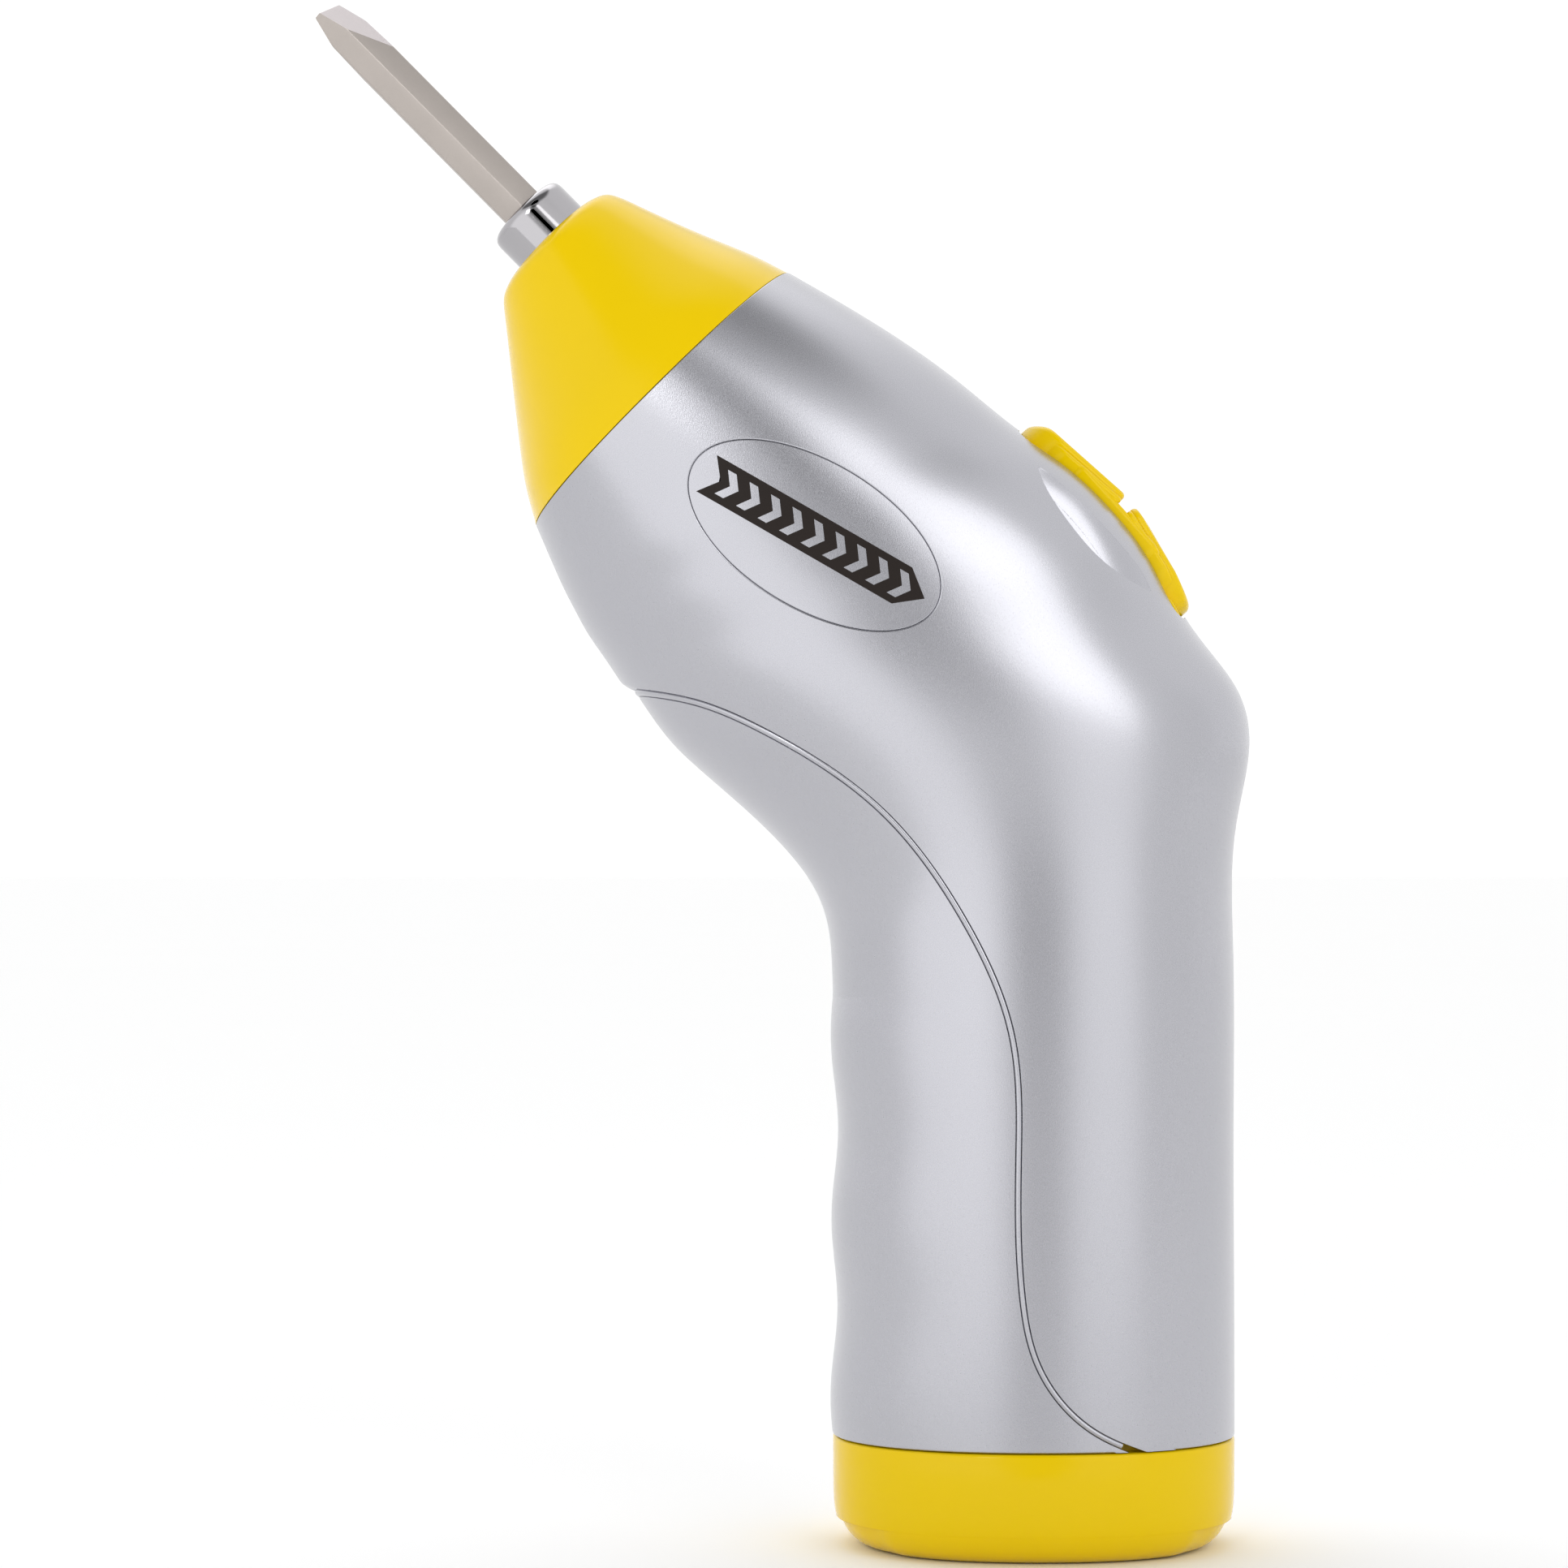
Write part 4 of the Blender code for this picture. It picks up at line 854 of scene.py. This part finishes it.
def printed(name, outlines, low, high, surface, side):
    """Flat shapes laid on the badge as a thin layer of print."""
    made = bmesh.new()
    for outline in outlines:
        made.faces.new([made.verts.new((a, b, 0)) for a, b in outline])
    bounds = np.array([v.co for v in made.verts])
    for axis in range(2):
        normal = Vector((1, 0, 0)) if axis == 0 else Vector((0, 1, 0))
        for at in np.arange(bounds[:, axis].min(), bounds[:, axis].max(), SIGN_CELL)[1:]:
            parts = made.verts[:] + made.edges[:] + made.faces[:]
            bmesh.ops.bisect_plane(made, geom=parts, plane_co=normal * at, plane_no=normal)
    c, s = math.cos(SIGN_TILT), math.sin(SIGN_TILT)
    made.verts.index_update()
    flat = np.array([v.co[:2] for v in made.verts])
    faces = [[v.index for v in face.verts] for face in made.faces]
    rim = [[v.index for v in edge.verts] for edge in made.edges if edge.is_boundary]
    made.free()
    x = BADGE_CENTRE[0] + flat[:, 0] * c - flat[:, 1] * s
    z = BADGE_CENTRE[1] + flat[:, 0] * s + flat[:, 1] * c
    spots = np.stack([x, z], axis=1)
    points = np.concatenate([on_side(surface, spots, lift, side) for lift in (high, low)])
    count = len(flat)
    solid = faces + [[i + count for i in reversed(face)] for face in faces]
    solid += [[a, b, b + count, a + count] for a, b in rim]
    return skin_shade(mesh_object(name, points, solid), surface, reach=0.08)


def make_sign(name, side, surface):
    """A plain direction sign: a dark ribbon with silver chevrons."""
    ribbon = [(-13.8, -2.3), (11.2, -2.3), (14.1, 0.0), (11.2, 2.3), (-13.8, 2.3), (-12.0, 0.0)]
    chevrons = []
    for start in np.arange(-11.9, 11.0, 2.75):
        shape = [(0, -1.5), (1.1, -1.5), (2.2, 0), (1.1, 1.5), (0, 1.5), (1.1, 0)]
        chevrons.append([(start + a, b) for a, b in shape])
    dark = printed(name + "_sign", [ribbon], -0.05, 0.03, surface, side)
    dark.data.materials.append(LOOKS["print_black"])
    dress(dark, "housing", "black_plastic")
    light = printed(name + "_sign_chevrons", chevrons, -0.02, 0.05, surface, side)
    dress(light, "housing", "silver_paint")


# ---- nose, collar, bit ----
def nose_loop(t, half, centre, power=2.0, sides=144):
    return at_height(circle(half, sides, (centre, 0.0), power), t)


def make_nose():
    outline = natural_spline(NOSE)(np.linspace(0, 1, 90))
    loops = []
    for inset, t in ((0.13, 0.03), (0.04, 0.06), (0.01, 0.12)):
        loops.append(nose_loop(t, NOSE[0][1] - inset, NOSE_CENTRE, SKIN_POWER))
    for t, half, centre in outline[3:]:
        power = SKIN_POWER + (2 - SKIN_POWER) * smooth(t / 14.0)
        loops.append(nose_loop(t, half, centre, power))
    hole = COLLAR_RADIUS + 0.3
    for t, half, centre in ((22.0, 6.4, -0.2), (22.0, hole + 0.4, 0), (21.9, hole + 0.1, 0)):
        loops.append(nose_loop(t, half, centre))
    loops += [nose_loop(21.6, hole, 0), nose_loop(20.2, hole, 0), nose_loop(20.2, 7.2, -0.3)]
    loops += [nose_loop(t, half - WALL - 0.4, centre) for t, half, centre in NOSE[4:0:-1]]
    spigot = NOSE[0][1] - WALL - 0.3
    for t, half in ((0.15, spigot - 1.4), (-3.6, spigot - 1.4), (-3.6, spigot), (0.15, spigot)):
        loops.append(nose_loop(t, half, NOSE_CENTRE))
    nose = loft("nose_cone_skin", loops, DRIVE, ring=True)
    room = rod("room", (0, 0, -6), (0, 0, 3.4), 13.75, DRIVE, 96)
    combine(nose, ("DIFFERENCE", room))
    smooth_shade(nose, 30)
    return dress(nose, "housing", "yellow_plastic", "nose_cone")


def hexagon(across_flats):
    angles = -math.pi / 2 + np.arange(6) * math.pi / 3
    return np.stack([np.cos(angles), np.sin(angles)], axis=1) * across_flats / math.sqrt(3)


def make_spindle():
    """The chrome collar with its hexagon socket, and the spindle behind it."""
    front, r = COLLAR_FRONT, COLLAR_RADIUS
    profile = [(0, front), (3.9, front), (4.3, 26.93), (4.65, 26.72), (4.88, 26.4), (4.98, 26.0)]
    profile += [(r, 25.6), (r, 6.7), (6.8, 6.7), (7.0, 6.5), (7.0, 5.4), (2.9, 5.4)]
    profile += [(2.9, 4.0), (0, 4.0)]
    spindle = turned("bit_spindle_skin", profile, DRIVE, 96)
    drive = prism("drive", hexagon(6.0), -0.6, 5.0, DRIVE)
    socket = prism("socket", hexagon(SOCKET_ACROSS_FLATS), 7.4, 40, DRIVE)
    flare = [at_height(hexagon(5.5), front - 0.5), at_height(hexagon(7.6), front + 0.5)]
    mouth = loft("mouth", flare, DRIVE)
    combine(spindle, ("UNION", drive), ("DIFFERENCE", socket), ("DIFFERENCE", mouth))
    smooth_shade(spindle, 28)
    return dress(spindle, "spindle", "chrome_steel", "bit_spindle")


def make_bit():
    """A hexagon bit with softened corners and a slotted blade ground across two of them."""
    start = BIT_TIP - BIT_LENGTH
    bit = prism("screwdriver_bit_skin", hexagon(BIT_ACROSS_FLATS), start, BIT_TIP + 1, DRIVE)
    round_edges(bit, 0.14, 3, 30)
    wide, edge = 4.0, BLADE_THICKNESS / 2
    full = BIT_TIP - (wide - edge) / math.tan(BLADE_SLOPE)
    wedge = [(-wide, start - 1), (wide, start - 1), (wide, full), (edge + 0.06, BIT_TIP - 0.12)]
    wedge += [(edge - 0.04, BIT_TIP), (-edge + 0.04, BIT_TIP), (-edge - 0.06, BIT_TIP - 0.12)]
    wedge += [(-wide, full)]
    turn = Matrix.Rotation(math.radians(-30), 4, "Z")
    combine(bit, ("INTERSECT", prism("blade", wedge, -5, 5, DRIVE @ turn @ SIDEWAYS)))
    smooth_shade(bit, 12)
    bit.data.materials.append(LOOKS["bit_nickel"])
    bit.data.materials.append(LOOKS["ground_steel"])
    along = (DRIVE.to_3x3() @ Vector((0, 0, 1))).normalized()
    tip = (DRIVE @ Vector((0, 0, BIT_TIP - 14))) * MM
    for face in bit.data.polygons:
        ground = face.normal.dot(along) > 0.12 and (face.center - tip).dot(along) > 0
        face.material_index = 1 if ground else 0
    return dress(bit, "bit", "bit_nickel", "screwdriver_bit")


# ---- cap ----
def foot_loop(inset, z, notch=0.0, sides=176):
    cx, cy = superellipse(np.arange(sides) * 2 * math.pi / sides)
    deep = inset + notch * smooth((np.abs(cx) - 0.74) / 0.12)
    return at_height(np.stack([cx * (FOOT_HALF[0] - deep), cy * (FOOT_HALF[1] - deep)], axis=1), z)


def make_cap():
    """The yellow foot, with a shallow step at front and back where a nail can grip it."""
    heel = [(4.2, 0.0), (2.7, 0.4), (1.3, 1.5), (0.4, 3.2), (0.06, 5.6), (0, 9.0)]
    step, notch = 3.3, 0.5
    loops = [foot_loop(18.0, 0.0), foot_loop(8.0, 0.0)]
    below = True
    for inset, z in natural_spline(heel)(np.linspace(0, 1, 34)):
        if below and z > step:
            loops += [foot_loop(0.36, step - 0.02, notch), foot_loop(0.34, step + 0.05, 0.0)]
            below = False
        loops.append(foot_loop(inset, z, notch if below else 0.0))
    loops += [foot_loop(i, z) for i, z in ((0, 12.25), (0.05, 12.43), (0.18, 12.55), (0.4, 12.6))]
    inside = [(2.35, 12.6), (2.35, 15.5), (2.6, 15.8), (3.9, 15.8), (3.9, 3.2), (4.5, 2.6)]
    loops += [foot_loop(i, z) for i, z in inside]
    loops.append(foot_loop(18.0, 2.6))
    cap = loft("battery_cap_skin", loops)
    x = CAP_SCREW_X
    boss = rod("boss", (x, 0, 1.0), (x, 0, 14.5), 3.5, sides=48)
    bore = rod("bore", (x, 0, -5), (x, 0, 20), 1.8, sides=48)
    recess = rod("recess", (x, 0, -5), (x, 0, 3.6), SCREW_RECESS_RADIUS, sides=48)
    combine(cap, ("UNION", boss), ("DIFFERENCE", bore), ("DIFFERENCE", recess))
    smooth_shade(cap, 32)
    return dress(cap, "cap", "yellow_plastic", "battery_cap")


# ---- rocker ----
def rounded_outline(low, high, half, radii, inset):
    """A rectangle (up, y) with its own radius at its low and at its high end."""
    outline, steps = [], 10
    corners = ((high, 1, radii[1], 0), (low, 1, radii[0], 90), (low, -1, radii[0], 180))
    for end, y_side, radius, first in (*corners, (high, -1, radii[1], 270)):
        left = max(radius - inset, 0.02)
        towards = 1 if end == high else -1
        centre = (end - towards * (inset + left), y_side * (half - inset - left))
        for i in range(steps + 1):
            a = math.radians(first + 90 * i / steps)
            outline.append((centre[0] + left * math.cos(a), centre[1] + left * math.sin(a)))
    return outline


def cushion(name, low, high, half, radii, top, bottom, softness, deepest):
    """A soft pad on the rocker: its top follows a function, its edges are round."""
    turn = [math.radians(a) for a in (0, 12, 25, 40, 55, 70, 82, 90)]
    levels = [(softness * (1 - math.cos(a)), softness * (1 - math.sin(a))) for a in turn]
    levels += [(inset, 0.0) for inset in np.arange(softness + 0.5, deepest, 0.6)]
    loops = [[(bottom, y, up) for up, y in rounded_outline(low, high, half, radii, 0)]]
    for inset, drop in levels:
        outline = rounded_outline(low, high, half, radii, inset)
        loops.append([(max(top(up, y) - drop, bottom + 0.05), y, up) for up, y in outline])
    return loft(name, loops, ROCKER)


def rocker_well():
    """The opening that the rocker sits in, with round corners."""
    ends, corners = (-WELL_HALF_LENGTH, WELL_HALF_LENGTH), (WELL_CORNER, WELL_CORNER)
    outline = rounded_outline(*ends, WELL_HALF_WIDTH, corners, 0)
    low = [(-4.2, y, up) for up, y in outline]
    high = [(9.0, y, up) for up, y in outline]
    return loft("rocker_well", [low, high], ROCKER)


def pin_bore():
    ends = (ROCKER_PIVOT, -9, 0), (ROCKER_PIVOT, 9, 0)
    return rod("bore", *ends, PIN_BORE_RADIUS, ROCKER, 40)


def make_rocker():
    """The yellow switch button: a low plate, a hump over the pin, and a stepped pad each way."""

    def crown(y):
        return 0.45 * (y / 6.3) ** 2

    def plate(up, y):
        return max(0.3 - 0.0061 * up * up, -0.9)

    def hump(up, y):
        return 2.9 - 0.012 * up * up - 0.3 * crown(y)

    def upper_step(up, y):
        return 3.55 - 0.13 * up - crown(y)

    def upper(up, y):
        return 4.15 - 0.115 * up - crown(y) - 1.3 * float(smooth((up - 11.0) / 3.4)) ** 2

    def lower_step(up, y):
        return 3.4 + 0.05 * up - 0.012 * up * up - crown(y)

    def lower(up, y):
        return 4.05 + 0.045 * up - 0.0125 * up * up - crown(y)

    base = cushion("rocker_button_skin", -14.0, 14.0, 7.0, (2.2, 2.2), plate, -1.75, 0.3, 6.6)
    pads = [
        cushion("hump", -7.6, 7.7, 6.95, (2.0, 2.0), hump, -1.6, 0.55, 6.3),
        cushion("step", 0.5, 11.6, 6.75, (0.8, 3.4), upper_step, -1.55, 0.4, 5.2),
        cushion("step", -11.6, -0.95, 6.75, (3.4, 0.8), lower_step, -1.55, 0.4, 4.9),
        cushion("pad", 0.55, 14.0, 6.1, (1.5, 4.4), upper, -1.5, 0.6, 5.6),
        cushion("pad", -14.0, -1.0, 6.1, (4.4, 1.5), lower, -1.5, 0.6, 5.4),
    ]
    prong = [(-5.6, -2), (-1.2, -2), (-1.2, 2), (-5.6, 2)]
    prongs = [prism("prong", prong, low, low + 1.8, ROCKER) for low in (-3.2, 1.4)]
    hub = [(-1.6, -4.2), (-3.5, -2.6), (-3.5, 2.6), (-1.6, 4.2)]
    prongs.append(prism("hub", hub, -6.9, 6.9, ROCKER @ SIDEWAYS))
    for piece in (base, *pads, *prongs):
        combine(piece, ("DIFFERENCE", pin_bore()))
        smooth_shade(piece, 50)
    join(base, *pads, *prongs)
    return dress(base, "rocker", "yellow_plastic", "rocker_button")


# ---- screws and cells ----
SLOT = (1.3, 0.32)  # half length and half width of each slot of a cross recess


def cross_screw(name, profile, head, matrix):
    """A turned screw whose head has a cross recess that narrows towards its floor."""
    cuts = []
    for halves in (SLOT, SLOT[::-1]):
        loops = []
        for z, share in ((head - 0.9, 0.55), (head + 0.4, 1.0)):
            a, b = (half * (share if half == max(SLOT) else 1) for half in halves)
            loops.append([(a, b, z), (-a, b, z), (-a, -b, z), (a, -b, z)])
        cuts.append(("DIFFERENCE", loft("slot", loops, matrix)))
    return smooth_shade(combine(turned(name, profile, matrix, 40), *cuts), 30)


def make_screws():
    seat = SCREW_SEAT
    profile = [(0, seat + 1.6), (0.9, seat + 1.58), (1.6, seat + 1.4), (2.1, seat + 0.95)]
    profile += [(2.3, seat + 0.5), (2.3, seat), (1.4, seat), (1.4, -6.6), (0, -8.0)]
    for n, (x, z) in enumerate(SHELL_SCREWS, 1):
        there = Matrix.Translation((x, 0, z)) @ ALONG_Y
        screw = cross_screw(f"shell_screw_{n}_skin", profile, seat + 1.6, there)
        dress(screw, "housing", "steel", f"shell_screw_{n}")
    profile = [(0, 1.4), (1.0, 1.42), (1.6, 1.6), (2.2, 2.1), (2.2, 3.2), (1.5, 3.2), (1.5, 22.0)]
    profile = [(r, -z) for r, z in profile + [(0, 22.0)]]
    there = Matrix.Translation((CAP_SCREW_X, 0, 0)) @ Matrix.Rotation(math.pi, 4, "X")
    screw = cross_screw("cap_screw_skin", profile, -1.4, there)
    dress(screw, "cap", "steel", "cap_screw")


def make_cells():
    for n, (sx, sy, up) in enumerate(CELLS, 1):
        length, r = CELL_TOP - CELL_BOTTOM, CELL_RADIUS
        body = length - CELL_NUB
        profile = [(0, length), (2.2, length), (2.55, length - 0.15), (2.7, length - 0.5)]
        profile += [(2.7, body + 0.15), (3.0, body), (5.6, body), (5.9, body - 0.1)]
        profile += [(6.3, body), (6.75, body - 0.05), (7.0, body - 0.25), (r, body - 0.6)]
        profile += [(r, body - 11.0), (r, 0.6), (7.0, 0.22), (6.7, 0.02), (6.3, 0.0)]
        profile += [(6.1, 0.25), (4.6, 0.25), (4.3, 0.05), (0, 0.05)]
        turn = Matrix.Identity(4) if up else Matrix.Rotation(math.pi, 4, "X")
        height = CELL_BOTTOM if up else CELL_TOP
        there = Matrix.Translation((sx * CELL_OFFSET, sy * CELL_OFFSET, height)) @ turn
        cell = turned(f"cell_{n}_skin", profile, there, 64)
        smooth_shade(cell, 30)
        for look in ("cell_jacket", "cell_band", "steel", "white_plastic"):
            cell.data.materials.append(LOOKS[look])
        back = there.inverted()
        for face in cell.data.polygons:
            place = back @ (face.center / MM)
            radius = math.hypot(place.x, place.y)
            index = 1 if place.z > body - 10.0 else 0
            if radius < 6.25:
                index = 3 if place.z > body - 1 and radius > 2.9 else 2
            face.material_index = index
        dress(cell, "cells", "cell_jacket", f"cell_{n}")


# ---- what the CAD shows as it is ----
CARRIED = {
    "steel": "rocker_pin cap_nut gear_back_plate output_carrier middle_carrier motor_can "
    "motor_shaft cap_bridge_near cap_bridge_far cap_spring_near cap_spring_far upper_bridge "
    "plus_terminal minus_terminal upper_spring_2 upper_spring_4",
    "black_plastic": "gear_cover gear_housing motor_end_cap switch_body cell_bulkhead",
    "white_plastic": "switch_lever output_planet_1 output_planet_2 output_planet_3 "
    "middle_planet_1 middle_planet_2 middle_planet_3",
    "ferrite": "bit_magnet motor_magnet_upper motor_magnet_lower",
    "bronze": "front_bush motor_pinion",
    "dark_iron": "motor_core",
    "copper": "motor_commutator",
    "red_wire": "battery_wire_plus motor_wire_plus",
    "black_wire": "battery_wire_minus motor_wire_minus",
}


def finish_carried_nodes():
    for look, names in CARRIED.items():
        for name in names.split():
            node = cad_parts[name]
            node.data.materials.clear()
            node.data.materials.append(LOOKS[look])


# ---- stage ----
def soft_light(name, place, target, size, power):
    light = bpy.data.lights.new(name, "AREA")
    light.shape = "RECTANGLE"
    light.size, light.size_y = size
    light.energy = power
    obj = new_object(name, light)
    obj.location = place
    obj.rotation_euler = (target - place).to_track_quat("-Z", "Y").to_euler()


def direction(azimuth, elevation):
    """A unit vector: azimuth from straight at the camera round to the picture's right."""
    a, e = math.radians(azimuth), math.radians(elevation)
    return Vector((math.sin(a) * math.cos(e), -math.cos(a) * math.cos(e), math.sin(e)))


ROOM_LEVEL = 1.07
# Soft patches of the studio: azimuth, elevation, inner and outer radius, change of brightness.
ROOM = [
    (-28, 72, 31, 42, -0.85),
    (1, 8, 7, 17, -0.8),
    (2, 22, 4, 14, -0.5),
    (2, 38, 6, 17, -0.6),
    (2, -4, 2, 9, -0.3),
    (-32, -16, 20, 48, 0.42),
    (26, -4, 6, 26, 0.26),
    (70, 8, 12, 32, -0.1),
    (-150, 64, 16, 42, 1.1),
]


def make_world():
    """A pale studio with a dark gap above the camera and a bright ceiling behind."""
    world = bpy.data.worlds.new("studio")
    bpy.context.scene.world = world
    world.use_nodes = True
    nodes, links = world.node_tree.nodes, world.node_tree.links
    background = nodes["Background"]
    background.inputs["Color"].default_value = (1, 1, 1, 1)
    places = nodes.new("ShaderNodeTexCoord")
    total = None
    for azimuth, elevation, inner, outer, change in ROOM:
        near = nodes.new("ShaderNodeVectorMath")
        near.operation = "DOT_PRODUCT"
        near.inputs[1].default_value = direction(azimuth, elevation)
        links.new(places.outputs["Generated"], near.inputs[0])
        ramp = nodes.new("ShaderNodeMapRange")
        ramp.interpolation_type = "SMOOTHSTEP"
        ramp.inputs["From Min"].default_value = math.cos(math.radians(outer))
        ramp.inputs["From Max"].default_value = math.cos(math.radians(inner))
        ramp.inputs["To Max"].default_value = change
        links.new(near.outputs["Value"], ramp.inputs["Value"])
        add = nodes.new("ShaderNodeMath")
        add.inputs[0].default_value = ROOM_LEVEL
        if total is not None:
            links.new(total, add.inputs[0])
        links.new(ramp.outputs["Result"], add.inputs[1])
        total = add.outputs["Value"]
    links.new(total, background.inputs["Strength"])


def make_stage():
    far, front, z = 30000, -220, -0.02
    corners = [(-far, front, z), (far, front, z), (far, far, z), (-far, far, z)]
    floor = mesh_object("floor", corners, [(0, 1, 2, 3)], outward=False)
    floor.data.materials.append(LOOKS["floor"])
    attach(floor, "cap")
    make_world()
    middle = Vector((-0.02, 0.0, 0.11))
    soft_light("key", middle + direction(-15, 17), middle, (0.16, 0.2), 0.85)
    soft_light("fill", middle + direction(29, 22), middle, (0.6, 0.46), 1.2)


def make_camera():
    lens = bpy.data.cameras.new("camera")
    lens.lens = 104.0
    lens.sensor_width = 36.0
    lens.shift_y = 0.052
    lens.clip_start = 0.01
    lens.clip_end = 100.0
    camera = new_object("camera", lens)
    camera.location = (-0.02876, -0.523, 0.0781)
    camera.rotation_euler = (math.radians(90), 0, 0)
    bpy.context.scene.camera = camera
    bpy.context.scene.view_settings.view_transform = "Standard"


# ---- all together ----
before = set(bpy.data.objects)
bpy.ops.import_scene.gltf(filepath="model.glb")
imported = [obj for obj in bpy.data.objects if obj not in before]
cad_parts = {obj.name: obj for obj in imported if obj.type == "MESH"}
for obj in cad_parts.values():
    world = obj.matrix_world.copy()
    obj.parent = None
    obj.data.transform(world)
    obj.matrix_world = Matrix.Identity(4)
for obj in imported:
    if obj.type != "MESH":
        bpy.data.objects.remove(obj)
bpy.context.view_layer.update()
LOOKS = {name: finish(name, *values, **more) for name, (*values, more) in FINISHES.items()}


def main():
    skin = Surface(no_inset)
    grip_skin = Surface(grip_inset)
    seam = SeamLines(skin, no_inset)
    grip_seam = SeamLines(grip_skin, grip_inset)
    for side in (-1, 1):
        make_shell(side, skin, seam)
        make_badge(side, skin)
    make_grip(grip_skin, grip_seam)
    make_nose()
    make_spindle()
    make_bit()
    make_cap()
    make_rocker()
    make_screws()
    make_cells()
    finish_carried_nodes()
    make_stage()
    make_camera()


main()
